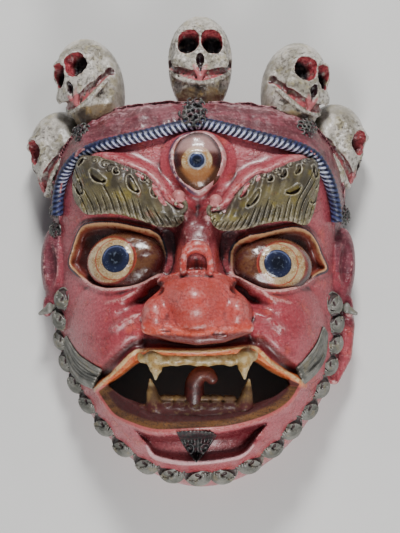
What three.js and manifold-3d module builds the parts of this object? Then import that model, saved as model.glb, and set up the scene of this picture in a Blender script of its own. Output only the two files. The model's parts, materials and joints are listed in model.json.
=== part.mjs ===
// A carved and painted wooden dance mask of a three-eyed, fanged protector, lying on its back.
// Millimetres. X runs across the face, Y from chin to crown, and Z out of the face; the rim lies on Z = 0.
import * as THREE from "three";
import { mergeVertices } from "three/addons/utils/BufferGeometryUtils.js";
import Module from "manifold-3d";

const wasm = await Module();
wasm.setup();

// ---- Driving dimensions -------------------------------------------------------------------------
// Until the last step, Y is measured from the eye line.
const MIDDLE_Y = -15; // the middle of the face
const HALF_WIDTH = 147;
const CROWN_REACH = 174; // from the middle of the face up to the crown's outline
const CHIN_REACH = 189; // and down to the chin's, under the beard
const CROWN_CURVE = 3.3; // powers of the outline: 2 is an ellipse, and more is squarer
const CHIN_CURVE = 1.85;
const JAW_LEAN = 0.04; // the carver left the jaw fuller on one side
const DEPTH = 122; // the plain front above the rim, before any feature
const WALL = 9; // at the sides
const LINING_DEPTH = 102;
const BAND_LIFT = 7; // the crown band above the forehead
const JOINT_GAP = 0.3;

const EYE = { x: 77, y: 4, halfWidth: 37, halfHeight: 27, top: 119 };
const THIRD_EYE = { y: 93, halfWidth: 21, above: 26, below: 28, top: 141 };
const MOUTH = { halfWidth: 96, cornerY: -113, topY: -92, bottomY: -153, jawY: -130, jawHalfWidth: 84 };
const NOSE = { y: -46, tipZ: 176, baseY: -78, wingX: 37 };
const CHEEK = { x: 86, y: -60, radius: 42, lift: 17 };

// ---- Small helpers ------------------------------------------------------------------------------
const { PI, abs, cos, exp, hypot, max, min, sin } = Math;
const degrees = (value) => (value * PI) / 180;
const mix = (a, b, t) => a + (b - a) * t;
const point = (x, y, z) => new THREE.Vector3(x, y, z);
const ease = (low, high, value) => THREE.MathUtils.smoothstep(value, low, high);
const fall = (high, low, value) => 1 - ease(low, high, value);
const spline = (points, closed = false) => new THREE.CatmullRomCurve3(points, closed, "centripetal");
const loop = (count, make) => Array.from({ length: count }, (unused, i) => make(i, i / count));
const span = (count, make) => Array.from({ length: count + 1 }, (unused, i) => make(i / count, i));

/** How far inside an ellipse a place lies: 1 at its middle, 0 at its edge and beyond. */
const inside = (x, y, cx, cy, rx, ry) => max(0, 1 - ((x - cx) / rx) ** 2 - ((y - cy) / ry) ** 2);

/** Distance from a place to the stretch from a to b. */
function fromLine(x, y, [ax, ay], [bx, by]) {
  const along = ((x - ax) * (bx - ax) + (y - ay) * (by - ay)) / ((bx - ax) ** 2 + (by - ay) ** 2);
  const t = min(1, max(0, along));
  return hypot(x - mix(ax, bx, t), y - mix(ay, by, t));
}

/** A closed solid from any closed geometry. */
function solid(geometry) {
  const plain = geometry.index ? geometry.toNonIndexed() : geometry;
  const bare = new THREE.BufferGeometry().setAttribute("position", plain.getAttribute("position"));
  const merged = mergeVertices(bare, 1e-3);
  const build = (triVerts) =>
    new wasm.Manifold(
      new wasm.Mesh({ numProp: 3, vertProperties: merged.attributes.position.array, triVerts }),
    );
  const triangles = new Uint32Array(merged.index.array);
  const made = build(triangles);
  return made.volume() > 0 ? made : build(triangles.slice().reverse());
}

/** A solid skin over rings of points, all with the same count; its ends are capped unless it is closed. */
function loft(rings, closed = false) {
  const positions = [];
  const face = (...corners) => corners.forEach((p) => positions.push(p.x, p.y, p.z));
  const count = rings[0].length;
  const last = closed ? rings.length : rings.length - 1;
  for (let i = 0; i < last; i++) {
    const [near, far] = [rings[i], rings[(i + 1) % rings.length]];
    for (let j = 0; j < count; j++) {
      const next = (j + 1) % count;
      face(near[j], near[next], far[next]);
      face(near[j], far[next], far[j]);
    }
  }
  const cap = (ring, flip) => {
    const middle = ring.reduce((sum, p) => sum.add(p), point(0, 0, 0)).divideScalar(count);
    ring.forEach((p, j) => {
      const next = ring[(j + 1) % count];
      if (flip) face(middle, p, next);
      else face(middle, next, p);
    });
  };
  if (!closed) {
    cap(rings[0], false);
    cap(rings.at(-1), true);
  }
  return solid(
    new THREE.BufferGeometry().setAttribute("position", new THREE.Float32BufferAttribute(positions, 3)),
  );
}

/** A bar along a curve, with an elliptic section: width(t) to each side, and height(t) up and down. */
function bar(curve, steps, sides, width, height, closed = false) {
  const rings = loop(closed ? steps : steps + 1, (i) => {
    const t = i / steps;
    const centre = curve.getPointAt(t);
    const across = new THREE.Vector3().crossVectors(curve.getTangentAt(t), point(0, 0, 1)).normalize();
    const up = new THREE.Vector3().crossVectors(across, curve.getTangentAt(t)).normalize();
    return loop(sides, (j, turn) =>
      centre
        .clone()
        .addScaledVector(across, width(t) * cos(2 * PI * turn))
        .addScaledVector(up, height(t) * sin(2 * PI * turn)),
    );
  });
  return loft(rings, closed);
}

/** A ball stretched to its three half-sizes, turned, and set in its place. */
function ball(centre, half, sides, rings, turn = new THREE.Euler()) {
  const geometry = new THREE.SphereGeometry(1, sides, rings)
    .applyMatrix4(new THREE.Matrix4().makeScale(...half))
    .applyMatrix4(new THREE.Matrix4().makeRotationFromEuler(turn))
    .translate(centre.x, centre.y, centre.z);
  return solid(geometry);
}

const pair = (made) => [made, made.mirror([1, 0, 0])];
const together = (solids) => wasm.Manifold.union(solids);

/** The one body of a carving, with any small pocket that its features close off filled in. */
const oneBody = (made) => made.decompose().reduce((a, b) => (a.volume() > b.volume() ? a : b));

// ---- The face's form ----------------------------------------------------------------------------
/** Distance from the middle of the face to its outline, in a direction. */
function outline(angle, grow = 0) {
  const upper = sin(angle) > 0;
  const power = upper ? CROWN_CURVE : CHIN_CURVE;
  const reach = (upper ? CROWN_REACH : CHIN_REACH) + grow;
  const sum = abs(cos(angle) / (HALF_WIDTH + grow)) ** power + abs(sin(angle) / reach) ** power;
  const lean = upper ? 0 : -JAW_LEAN * sin(angle) * cos(angle);
  return sum ** (-1 / power) * (1 + lean);
}

/** The two powers of the dome's profile: round at the sides, square-shouldered at crown and chin. */
function profile(angle) {
  const upright = sin(angle) ** 2;
  if (sin(angle) > 0) return { across: 2 + 8 * upright ** 1.7, deep: 2 + 2 * upright ** 2 };
  return { across: 2 + 3 * upright ** 1.2, deep: 2 + 0.5 * upright };
}

/** Height of the plain dome at a share of the way out to its outline. */
function domeHeight(angle, share, depth = DEPTH) {
  const { across, deep } = profile(angle);
  return depth * max(0, 1 - share ** across) ** (1 / deep);
}

/** The share of the way out at which the dome has come down to a height. */
function domeShare(angle, height, depth = DEPTH) {
  const { across, deep } = profile(angle);
  return (1 - (height / depth) ** deep) ** (1 / across);
}

/** Where the twisted cord lies, under the crown band, as a share of the way out. */
const cordShare = (angle) => mix(0.95, 0.795, ease(38, 67, 90 - abs(90 - (angle * 180) / PI)));

/** Raised and sunk forms of the face, above the plain dome. */
function relief(x, y) {
  const a = abs(x);
  const cheek = CHEEK.lift * inside(a, y, CHEEK.x, CHEEK.y, CHEEK.radius, CHEEK.radius) ** 0.6;
  const bridge = 26 * inside(a, y, 0, -2, 30, 46) ** 0.6;
  const muzzle = 17 * inside(a, y, 0, -92, 88, 30) ** 0.7;
  const lowerLip = 14 * inside(a, y, 0, -150, 90, 26) ** 0.7;
  const chinHollow = -10 * inside(a, y, 0, -170, 66, 13) ** 0.6;
  const chinRidge = 12 * exp(-(((y + 186 - a * a * 0.004) / 7) ** 2)) * fall(86, 56, a);
  const eyeHollow = -16 * inside(a, y, 30, 10, 20, 30) - 8 * inside(a, y, 78, 34, 54, 18);
  const fold = -12 * exp(-((fromLine(a, y, [44, -34], [78, -47]) / 8) ** 2));
  const browRoot = 5 * exp(-((fromLine(a, y, [16, 52], [100, 96]) / 14) ** 2));
  const mound = 10 * inside(a, y, 0, 93, 36, 42);
  const lower = cheek + fold + muzzle + lowerLip + chinHollow + chinRidge;
  return lower + bridge + eyeHollow + browRoot + mound;
}

/** Height of the carved face at a place in front view. */
function faceHeight(x, y) {
  const angle = Math.atan2(y - MIDDLE_Y, x);
  const share = hypot(x, y - MIDDLE_Y) / outline(angle);
  return domeHeight(angle, min(share, 1)) + relief(x, y) * fall(0.98, 0.88, share);
}

const onFace = ([x, y], lift = 0) => point(x, y, faceHeight(x, y) + lift);

/** A place on the plain dome's surface, lifted square to it. */
function onDome(angle, height, lift = 0) {
  const at = (turn, level) => {
    const reach = outline(turn) * domeShare(turn, level);
    return point(reach * cos(turn), MIDDLE_Y + reach * sin(turn), level);
  };
  const level = max(height, 2);
  const sideways = at(angle + 0.01, level).sub(at(angle, level));
  const upwards = at(angle, level).sub(at(angle, level - 1));
  return at(angle, height).addScaledVector(sideways.cross(upwards).normalize(), lift);
}

const atShare = (angle, share, lift) => onDome(angle, domeHeight(angle, share), lift);

// ---- The hollow shell ---------------------------------------------------------------------------
/** The outside: the carved front as far as the cord, the step of the crown band, and the wall to the rim. */
function outside(grow = 0) {
  const around = 44;
  const frontRings = 8;
  const wallRings = 3;
  const edgeShare = (angle) => (sin(angle) > 0 ? cordShare(angle) : 0.935);
  const front = span(frontRings - 1, (t) =>
    loop(around, (j, turn) => {
      const angle = 2 * PI * turn;
      const reach = outline(angle) * edgeShare(angle) * mix(1 / frontRings, 1, t);
      return onFace([reach * cos(angle), MIDDLE_Y + reach * sin(angle)], grow);
    }),
  );
  const wall = span(wallRings, (t) =>
    loop(around, (j, turn) => {
      const angle = 2 * PI * turn;
      const height = domeHeight(angle, edgeShare(angle) + 0.006) * (1 - t);
      const band = BAND_LIFT * ease(6, 40, (sin(angle) * 180) / PI) * ease(0, 50, height);
      return onDome(angle, height, band + grow);
    }),
  );
  return loft([...front, ...wall]);
}

/** The hollow: a smaller dome, shallower behind the mouth, with a pocket behind the nose. */
function lining() {
  const around = 22;
  const wallHeights = [-5, 0, 50];
  const roofShares = [0.62, 0.4, 0.16];
  const ringAt = (shareOf, heightOf) =>
    loop(around, (j, turn) => {
      const angle = 2 * PI * turn;
      const share = shareOf(angle);
      const reach = outline(angle, -WALL) * share;
      const [x, y] = [reach * cos(angle), MIDDLE_Y + reach * sin(angle)];
      const overJaw = 12 * inside(x, y, 0, -112, 105, 46) ** 0.5;
      return point(x, y, heightOf(angle, share) - overJaw);
    });
  const wall = wallHeights.map((height) =>
    ringAt((angle) => domeShare(angle, max(0, height), LINING_DEPTH), () => height),
  );
  const roof = roofShares.map((share) =>
    ringAt(() => share, (angle) => domeHeight(angle, share, LINING_DEPTH)),
  );
  const nosePocket = ball(point(0, NOSE.y, LINING_DEPTH - 2), [22, 22, 38], 10, 6);
  return together([loft([...wall, ...roof]), nosePocket]);
}

// ---- Mouth --------------------------------------------------------------------------------------
/** Upper edge of the opening: level over the teeth, then down to the corners. */
const mouthTop = (x) => MOUTH.topY - 20 * ease(44, MOUTH.halfWidth + 4, abs(x));

/** Lower edge of the opening, from its half-width and its lowest place. */
function mouthBottom(x, halfWidth, lowest, power) {
  return mix(MOUTH.cornerY, lowest, max(0, 1 - (x / halfWidth) ** 2) ** power);
}

/** The opening: as wide as the lips in front, narrowing to the jaw behind the teeth. */
function mouthOpening() {
  const half = 12;
  const ring = (z, halfWidth, lowest, power) => {
    const upper = span(half, (t) => {
      const x = mix(-halfWidth, halfWidth, t);
      return point(x, max(mouthTop(x), MOUTH.cornerY + 0.5), z);
    });
    const lower = span(half, (t) => {
      const x = mix(halfWidth, -halfWidth, t);
      return point(x, mouthBottom(x, halfWidth, lowest, power), z);
    }).slice(1, -1);
    return [...upper, ...lower];
  };
  return loft([
    ring(200, MOUTH.halfWidth, MOUTH.bottomY, 0.6),
    ring(122, MOUTH.halfWidth, MOUTH.bottomY, 0.6),
    ring(98, MOUTH.jawHalfWidth, MOUTH.jawY, 0.5),
    ring(40, MOUTH.jawHalfWidth, MOUTH.jawY, 0.5),
  ]);
}

function lips() {
  const upper = span(8, (t) => {
    const x = mix(-99, 99, t);
    return point(x, mouthTop(x) + 5, mix(137, 88, (abs(x) / 99) ** 2.2));
  });
  const lower = span(8, (t) => {
    const x = mix(-98, 98, t);
    return point(x, mouthBottom(x, 99, MOUTH.bottomY - 3, 0.6), mix(120, 86, (abs(x) / 98) ** 2.4));
  });
  const taper = (t) => 0.5 + 0.5 * sin(PI * t) ** 0.5;
  return [
    bar(spline(upper), 12, 4, (t) => 7 * taper(t), (t) => 9 * taper(t)),
    bar(spline(lower), 12, 4, (t) => 6 * taper(t), (t) => 11 * taper(t)),
  ];
}

function fang(rootX, rootY, tipX, tipY, z, width) {
  const middle = point(mix(rootX, tipX, 0.4), mix(rootY, tipY, 0.5), z + 1);
  const path = spline([point(rootX, rootY, z), middle, point(tipX, tipY, z)]);
  return bar(path, 3, 4, (t) => mix(width, 1.2, t), (t) => mix(width * 0.8, 1.2, t));
}

/** A rail of teeth across the jaw, bent back at its ends. */
function toothRail(halfWidth, y, z, droop, setBack, width, height) {
  const path = span(6, (t) => {
    const side = 2 * t - 1;
    return point(halfWidth * side, y + droop * side * side, z - setBack * side * side);
  });
  return bar(spline(path), 6, 4, () => width, () => height);
}

function teeth() {
  return [
    toothRail(52, -97, 131, 3, 8, 6, 6),
    toothRail(52, -132, 106, 6, 10, 6, 10),
    ...pair(fang(44, -96, 39, -113, 125, 8)),
    ...pair(fang(46, -134, 40, -111, 112, 9)),
  ];
}

/** The tongue rises from the jaw and curls over to one side. */
function tongue() {
  const places = [
    [-5, -140, 96],
    [-8, -124, 102],
    [-7, -111, 106],
    [0, -104, 109],
    [9, -106, 110],
    [12, -113, 109],
  ];
  const path = spline(places.map((place) => point(...place)));
  return bar(path, 8, 5, (t) => mix(10, 4, t * t), (t) => mix(9, 5, t));
}

// ---- Nose, eyes and brows -----------------------------------------------------------------------
function nose() {
  const body = ball(point(0, NOSE.y - 4, 126), [51, 31, 38], 12, 6);
  const tip = ball(point(0, NOSE.y + 2, NOSE.tipZ - 28), [29, 29, 28], 9, 6);
  const wing = ball(point(NOSE.wingX, NOSE.y - 8, 136), [17, 20, 24], 8, 5);
  const base = toothRail(44, NOSE.baseY + 2, 148, 8, 14, 6, 7);
  const roll = span(6, (t) => point(-14 * cos(PI * t), -2 + 18 * sin(PI * t) ** 0.8, 141));
  return [body, tip, ...pair(wing), base, bar(spline(roll), 6, 5, () => 6.5, () => 10)];
}

const LID = [
  [31, 4],
  [40, 22],
  [80, 34],
  [109, 31],
  [122, 3],
  [107, -11],
  [77, -25],
  [43, -17],
];

function eyes() {
  const turn = new THREE.Euler(0, 0.3, 0);
  const eyeball = ball(
    point(EYE.x, EYE.y, EYE.top - 20),
    [EYE.halfWidth, EYE.halfHeight, 20],
    12,
    6,
    turn,
  );
  const lidLine = spline(LID.map((place) => onFace(place, 2)), true);
  const lid = bar(lidLine, 14, 4, () => 3.5, () => 6, true);
  const ridgeLine = spline([onFace([34, -18], 4), onFace([60, -33], 6), onFace([90, -46], 1)]);
  const ridge = bar(ridgeLine, 4, 4, (t) => 7 - 2 * t, (t) => 9 - 4 * t);
  const third = ball(point(0, THIRD_EYE.y, THIRD_EYE.top - 12), [16, 19, 12], 8, 4);
  const rimPlaces = loop(12, (i, turnShare) => {
    const angle = 2 * PI * turnShare + PI / 2;
    const upper = sin(angle) > 0;
    const reach = upper ? THIRD_EYE.above : THIRD_EYE.below;
    const across = THIRD_EYE.halfWidth * cos(angle) * (1 - 0.25 * abs(sin(angle)) ** 3);
    return onFace([across, THIRD_EYE.y + reach * sin(angle)], 1);
  });
  const rim = bar(spline(rimPlaces, true), 12, 4, () => 3, () => 5, true);
  return [...pair(together([eyeball, lid, ridge])), third, rim];
}

/** A bushy brow: slanting locks side by side from the scroll at the nose to the temple. */
function brow() {
  const locks = 6;
  const edge = (places) => spline(places.map(([x, y]) => point(x, y, 0)));
  const top = edge([[22, 54], [44, 74], [64, 90], [90, 102], [114, 108]]);
  const bottom = edge([[18, 26], [44, 31], [68, 38], [98, 44], [122, 62]]);
  const edges = span(locks * 2, (t) => {
    const [low, high] = [bottom.getPointAt(t), top.getPointAt(t)];
    const groove = 1 - 0.22 * abs(cos(PI * locks * t));
    const lifts = [0.7, 1, 0.95, 0.6].map((share) => 14 * groove * share);
    const place = (across, lift) => onFace([mix(low.x, high.x, across), mix(low.y, high.y, across)], lift);
    const front = [0, 0.25, 0.8, 1].map((across, i) => place(across, lifts[i]));
    return [...front, place(0.9, -8), place(0.1, -8)];
  });
  const scroll = ball(onFace([17, 43], 2), [9, 10, 13], 8, 5);
  return together([loft(edges), scroll]);
}

// ---- Crown cord, tufts, beard and ears ----------------------------------------------------------
function cord(grow = 0) {
  const path = span(20, (t) => {
    const angle = degrees(mix(8, 172, t));
    return atShare(angle, cordShare(angle), 3);
  });
  return bar(spline(path), 24, 4, () => 4.5 + grow, () => 4.5 + grow);
}

const TUFTS = [
  { at: 91, share: 0.93, lift: BAND_LIFT, size: 14 },
  { at: 52, share: 0.95, lift: BAND_LIFT, size: 11 },
  { at: 129, share: 0.95, lift: BAND_LIFT, size: 11 },
  { at: 33, share: 0.975, lift: 2, size: 9 },
  { at: 147, share: 0.975, lift: 2, size: 9 },
  { at: 26, share: 0.975, lift: 2, size: 9 },
  { at: 154, share: 0.975, lift: 2, size: 9 },
];

function tufts(grow = 0) {
  return TUFTS.map(({ at, share, lift, size }) => {
    const half = [size + grow, size * 1.15 + grow, size + grow];
    return ball(atShare(degrees(at), share, lift), half, 6, 3);
  });
}

/** Locks of beard along the jaw from ear to ear. */
function beard() {
  const locks = 17;
  const path = span(22, (t) => atShare(degrees(mix(-14, -166, t)), 0.95, 1));
  const swell = (t) => 7 + 3.5 * abs(sin(PI * locks * t));
  return bar(spline(path), locks * 2, 4, swell, (t) => swell(t) * 0.8);
}

/** The whisker that sweeps from the corner of the mouth up to the ear. */
function whisker() {
  const places = [[98, -110], [112, -92], [122, -66], [130, -38], [134, -16]];
  const path = spline(places.map((place) => onFace(place, 1)));
  return bar(path, 6, 4, (t) => mix(10, 6, t), () => 5);
}

function goatee() {
  return loft(
    span(3, (t) => {
      const y = mix(-158, -190, t);
      const half = mix(20, 4, t);
      return [onFace([-half, y], 1), onFace([0, y], 5), onFace([half, y], 1), onFace([0, y], -6)];
    }),
  );
}

function ear() {
  const turn = new THREE.Euler(0, degrees(42), degrees(-4));
  const plate = ball(point(140, 8, 40), [18, 39, 9], 10, 6, turn);
  const hollow = ball(point(145, 10, 50), [10, 24, 8], 8, 4, turn);
  const pin = solid(new THREE.ConeGeometry(4, 14, 6).rotateZ(degrees(-105)).translate(150, -32, 38));
  return together([plate.subtract(hollow), pin]);
}

function maskSolid() {
  const features = [
    ...nose(),
    ...eyes(),
    ...pair(brow()),
    ...pair(ear()),
    ...pair(whisker()),
    cord(),
    beard(),
    goatee(),
    ...tufts(),
  ];
  const carved = together([outside(), ...lips(), ...features]).subtract(lining()).subtract(mouthOpening());
  const belowRim = solid(new THREE.BoxGeometry(600, 600, 40).translate(0, 0, -20));
  return oneBody(together([carved, ...teeth(), tongue()]).subtract(belowRim));
}

// ---- Skulls of the crown ------------------------------------------------------------------------
const SKULL = { halfWidth: 31, top: 43, bottom: 60, halfDepth: 34 };

/** One skull about its own middle: it looks along +Z with its crown towards +Y. */
function skullSolid() {
  const geometry = new THREE.SphereGeometry(1, 12, 9);
  const places = geometry.getAttribute("position");
  for (let i = 0; i < places.count; i++) {
    const [x, y, z] = [places.getX(i), places.getY(i), places.getZ(i)];
    places.setXYZ(i, x * SKULL.halfWidth, y * (y > 0 ? SKULL.top : SKULL.bottom), z * SKULL.halfDepth);
  }
  const socket = ball(point(12.4, 8, 29), [10, 11.5, 19], 8, 4);
  const nostril = ball(point(0, -14, 35), [4, 8, 9], 6, 4);
  const grinPlaces = [[-29, -10, 14], [-18, -22, 26], [0, -28, 31], [18, -22, 26], [29, -10, 14]];
  const grinLine = spline(grinPlaces.map((place) => point(...place)));
  const grin = bar(grinLine, 6, 4, (t) => 1 + 3 * sin(PI * t) ** 0.5, () => 7);
  return [...pair(socket), nostril, grin].reduce((made, cut) => made.subtract(cut), solid(geometry));
}

const SKULLS = [
  { name: "skull_middle", at: [2, 206, 76], yaw: 0, pitch: -7, roll: 0 },
  { name: "skull_inner_left", at: [-107, 191, 62], yaw: -40, pitch: -10, roll: 15 },
  { name: "skull_inner_right", at: [95, 186, 62], yaw: 37, pitch: -8, roll: -9 },
  { name: "skull_outer_left", at: [-133, 123, 34], yaw: -74, pitch: -4, roll: 17 },
  { name: "skull_outer_right", at: [132, 131, 34], yaw: 68, pitch: -4, roll: -17 },
];

function skullPlacement({ at, yaw, pitch, roll }) {
  const turn = new THREE.Euler(degrees(pitch), degrees(yaw), degrees(roll), "ZXY");
  return new THREE.Matrix4().makeRotationFromEuler(turn).setPosition(...at);
}

// ---- Assembly -----------------------------------------------------------------------------------
const PAINT = {
  red: new THREE.MeshStandardMaterial({ color: 0xa8484c, roughness: 0.45, metalness: 0 }),
  bone: new THREE.MeshStandardMaterial({ color: 0xbdb4a0, roughness: 0.5, metalness: 0 }),
};

function meshOf(made, name, material) {
  const { numProp, vertProperties, triVerts } = made.getMesh();
  const positions = vertProperties.filter((value, i) => i % numProp < 3);
  const geometry = new THREE.BufferGeometry()
    .setAttribute("position", new THREE.BufferAttribute(positions, 3))
    .setIndex(new THREE.BufferAttribute(triVerts, 1));
  const mesh = new THREE.Mesh(geometry, material);
  mesh.name = name;
  return mesh;
}

const group = new THREE.Group();
group.add(meshOf(maskSolid(), "mask", PAINT.red));

const mould = skullSolid();
const seat = together([outside(JOINT_GAP), cord(JOINT_GAP), ...tufts(JOINT_GAP)]);
for (const skull of SKULLS) {
  const placed = mould.transform(skullPlacement(skull).elements);
  group.add(meshOf(oneBody(placed.subtract(seat)), skull.name, PAINT.bone));
}

// The origin is under the middle of the whole piece, on the plane that the rim lies on.
const box = new THREE.Box3().setFromObject(group);
group.position.set(-(box.min.x + box.max.x) / 2, -(box.min.y + box.max.y) / 2, 0);

export default group;
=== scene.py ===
import json
import math
import random

import bmesh
import bpy
import numpy as np
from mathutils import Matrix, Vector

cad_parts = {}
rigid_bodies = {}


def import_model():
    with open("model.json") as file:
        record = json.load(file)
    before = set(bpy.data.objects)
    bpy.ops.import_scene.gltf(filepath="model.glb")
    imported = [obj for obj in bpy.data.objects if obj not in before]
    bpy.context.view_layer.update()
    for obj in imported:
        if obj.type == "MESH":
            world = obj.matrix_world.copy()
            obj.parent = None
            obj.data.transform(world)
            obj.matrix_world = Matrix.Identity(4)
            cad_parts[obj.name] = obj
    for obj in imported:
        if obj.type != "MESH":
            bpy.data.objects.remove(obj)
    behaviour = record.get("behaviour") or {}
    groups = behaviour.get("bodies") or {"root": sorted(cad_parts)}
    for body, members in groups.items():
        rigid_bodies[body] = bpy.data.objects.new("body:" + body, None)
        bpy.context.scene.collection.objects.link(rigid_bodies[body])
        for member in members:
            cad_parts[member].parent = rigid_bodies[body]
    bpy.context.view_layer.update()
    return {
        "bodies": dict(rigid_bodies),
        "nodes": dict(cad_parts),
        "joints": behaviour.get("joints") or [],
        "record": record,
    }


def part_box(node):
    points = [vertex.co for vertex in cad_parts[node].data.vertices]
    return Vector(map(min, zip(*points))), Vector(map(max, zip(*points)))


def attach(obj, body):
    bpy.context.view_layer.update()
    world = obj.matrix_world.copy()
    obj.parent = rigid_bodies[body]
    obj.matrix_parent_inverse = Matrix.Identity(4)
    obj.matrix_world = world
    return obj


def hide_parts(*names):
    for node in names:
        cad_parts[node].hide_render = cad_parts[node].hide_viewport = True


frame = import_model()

import openvdb
from mathutils import Euler, Matrix, Vector

MM = 0.001
CHIN_TO_EYES = 206.1  # from the lowest edge of the beard up to the line of the eyes

mask_low, mask_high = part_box("mask")
SHIFT = np.array([(mask_low.x + mask_high.x) / 2 / MM, mask_low.y / MM + CHIN_TO_EYES, 0.0])

# Outline and dome of the block, in millimetres from the middle of the eye line
MIDDLE_Y = -15.0
HALF_WIDTH = 147.0
CROWN_REACH, CHIN_REACH = 174.0, 189.0
CROWN_CURVE, CHIN_CURVE = 4.1, 1.85
JAW_LEAN = 0.04
DEPTH, LINING_DEPTH, WALL = 122.0, 102.0, 9.0
BAND_LIFT = 7.0
LEAST_WALL = 6.0

LEFT_LID = [(-124, 7), (-120, 20), (-115, 34), (-106, 40), (-80, 38), (-57, 32), (-38, 26), (-32, 15),
            (-31, 4), (-35, -10), (-50, -20), (-69, -24), (-88, -24), (-104, -15), (-116, -4)]
RIGHT_LID = [(124, 2), (118, 14), (112, 27), (104, 34), (89, 35), (63, 27), (39, 20), (32, 13),
             (31, -1), (34, -13), (50, -22), (68, -27), (86, -24), (102, -15), (114, -5)]
THIRD_RIM = [(2, 119), (-16, 114), (-23, 99), (-18, 81), (-4, 66), (5, 67), (18, 83), (22, 99), (13, 115)]
UNDER_EYE = [(30, -13), (44, -21), (57, -28), (70, -35), (87, -38)]
EYE_GROOVE = [(35, -24), (53, -35), (70, -47)]
LEFT_BROW = {
    "top": [(-14, 44), (-24, 50), (-31, 56), (-37, 66), (-47, 78), (-61, 85.5), (-79, 94), (-94, 100),
            (-112, 106)],
    "bottom": [(-12, 37), (-20, 31), (-32, 31), (-39, 32), (-55, 38), (-79, 45), (-104, 48), (-114, 57),
               (-120, 69), (-121, 87)],
    "hollows": [((-113, 95), (-109.5, 99), 3.2), ((-100, 85), (-88, 74.5), 4.2),
                ((-76.5, 85), (-75, 81), 2.4), ((-64, 76), (-56, 62.5), 4.2),
                ((-51, 79), (-49.5, 73), 1.8), ((-41, 66), (-39.5, 58), 2.6),
                ((-113.5, 79), (-110, 68), 4.2)],
    "curls": [(-87, 90), (-97, 95), (-70, 86), (-82, 85), (-106, 100), (-57, 82), (-45, 72)],
    "knob": (-18, 50),
    "spacing": 6.6,
    "reach": 0.36,
}
RIGHT_BROW = {
    "top": [(12, 42), (24, 46), (30, 52), (35, 60), (44, 70), (55, 79), (64, 81), (81, 90), (94, 96),
            (108, 102)],
    "bottom": [(11, 35), (18, 28), (30, 27.5), (44, 29), (64, 35), (85, 39), (102, 38), (110, 50),
               (116, 78), (117, 95)],
    "hollows": [((110, 91), (111.5, 84), 3.4), ((113, 70), (107.5, 59.5), 3.6),
                ((95, 90), (92, 82.5), 2.0), ((81, 84), (78, 78), 2.2), ((95, 70.5), (83.5, 63.5), 3.4),
                ((56, 63), (46.5, 49.5), 3.4), ((44, 65), (40, 58), 2.2), ((68, 77.5), (66, 74), 1.8)],
    "curls": [(72, 84), (86, 90), (61, 78), (100, 95), (48, 72), (75, 80), (104, 99)],
    "knob": (16.5, 46),
    "spacing": 4.8,
    "reach": 0.28,
}
UPPER_LIP_LINE = [(-97, -116), (-84, -106), (-71, -96), (-62, -88), (-52, -84), (-22, -86), (18, -85),
                  (46, -81), (55, -83), (68, -95), (84, -103), (97, -110)]
MOUTH_TOP = [(-95, -117), (-84, -111), (-71, -103), (-60, -95), (-52, -91.5), (-32, -90), (0, -91.5),
             (33, -89), (49, -90), (58, -94), (68, -100), (84, -107), (96, -111)]
LOWER_LIP_LINE = [(96, -112), (88, -126), (73, -138), (52, -147.5), (27, -154), (0, -156), (-31, -157),
                  (-46, -155), (-61, -149.5), (-78, -141), (-88, -129), (-95, -118)]
LIP_HOLLOW = [(-98, -108), (-86, -98), (-72, -88), (-60, -79), (-50, -77), (0, -80), (46, -75),
              (58, -76), (71, -87), (86, -96), (98, -103)]
JAW_EDGE = [(86, -112), (74, -122), (62, -127), (46, -131), (0, -132), (-46, -131), (-62, -127), (-73, -122),
            (-84, -113)]
CHIN_BASIN = [(-62, -152), (-48, -168), (-41, -179), (-17, -185), (4, -185), (27, -182), (43, -177),
              (55, -162), (66, -148), (52, -151), (27, -158), (0, -160), (-31, -161), (-47, -159)]
CORD_WAY = [(131, 50), (129.5, 64), (123.5, 83), (113.5, 99), (101.5, 107), (58.4, 117), (11.3, 129),
            (-13.2, 128), (-54.7, 118), (-98, 109), (-113, 104), (-126.2, 92), (-131.7, 77), (-133.3, 58)]
WHISKERS = {  # the edge on the cheek, then the edge on the jaw
    "left_whiskers": ([(-127.4, -61.9), (-114.9, -80.9), (-102.4, -91.2), (-91.9, -97.4)],
                      [(-131.5, -68.6), (-127.0, -88.4), (-117.0, -104.4), (-101.6, -113.8)]),
    "right_whiskers": ([(119.6, -55.9), (113.0, -72.3), (103.8, -85.5), (94.0, -95.1)],
                       [(124.1, -61.2), (122.7, -81.3), (113.2, -98.5), (99.8, -111.3)]),
}
CHEEKS = [(-88, -58, 40, 43), (86, -56, 39, 41)]  # middle and half-sizes of each
MOST_TRIANGLES = {"carved_mask": 196000, "teeth": 34000, "tongue": 9000, "brow": 70000, "skull": 40000,
                  "tufts": 90000, "beard": 130000, "whiskers": 26000, "small_beard": 16000}


def smooth(low, high, value):
    """0 below low, 1 above high, eased between."""
    share = np.clip((value - low) / (high - low), 0, 1)
    return share * share * (3 - 2 * share)


def dome_in(x, y, cx, cy, rx, ry):
    """1 in the middle of an ellipse, 0 at its edge and beyond."""
    return np.maximum(0, 1 - ((x - cx) / rx) ** 2 - ((y - cy) / ry) ** 2)


def bell(distance, width):
    return np.exp(-((distance / width) ** 2))


def curve(points, steps=6, closed=False):
    """A smooth run of points through the given ones."""
    points = [np.array(point, float) for point in points]
    count = len(points)
    made = []
    for i in range(count if closed else count - 1):
        if closed:
            a, b, c, d = (points[(i + j - 1) % count] for j in range(4))
        else:
            a, b, c, d = points[max(i - 1, 0)], points[i], points[i + 1], points[min(i + 2, count - 1)]
        for step in range(steps):
            t = step / steps
            made.append(0.5 * (2 * b + (c - a) * t + (2 * a - 5 * b + 4 * c - d) * t * t
                               + (3 * b - a - 3 * c + d) * t ** 3))
    if not closed:
        made.append(points[-1])
    return made


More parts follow.
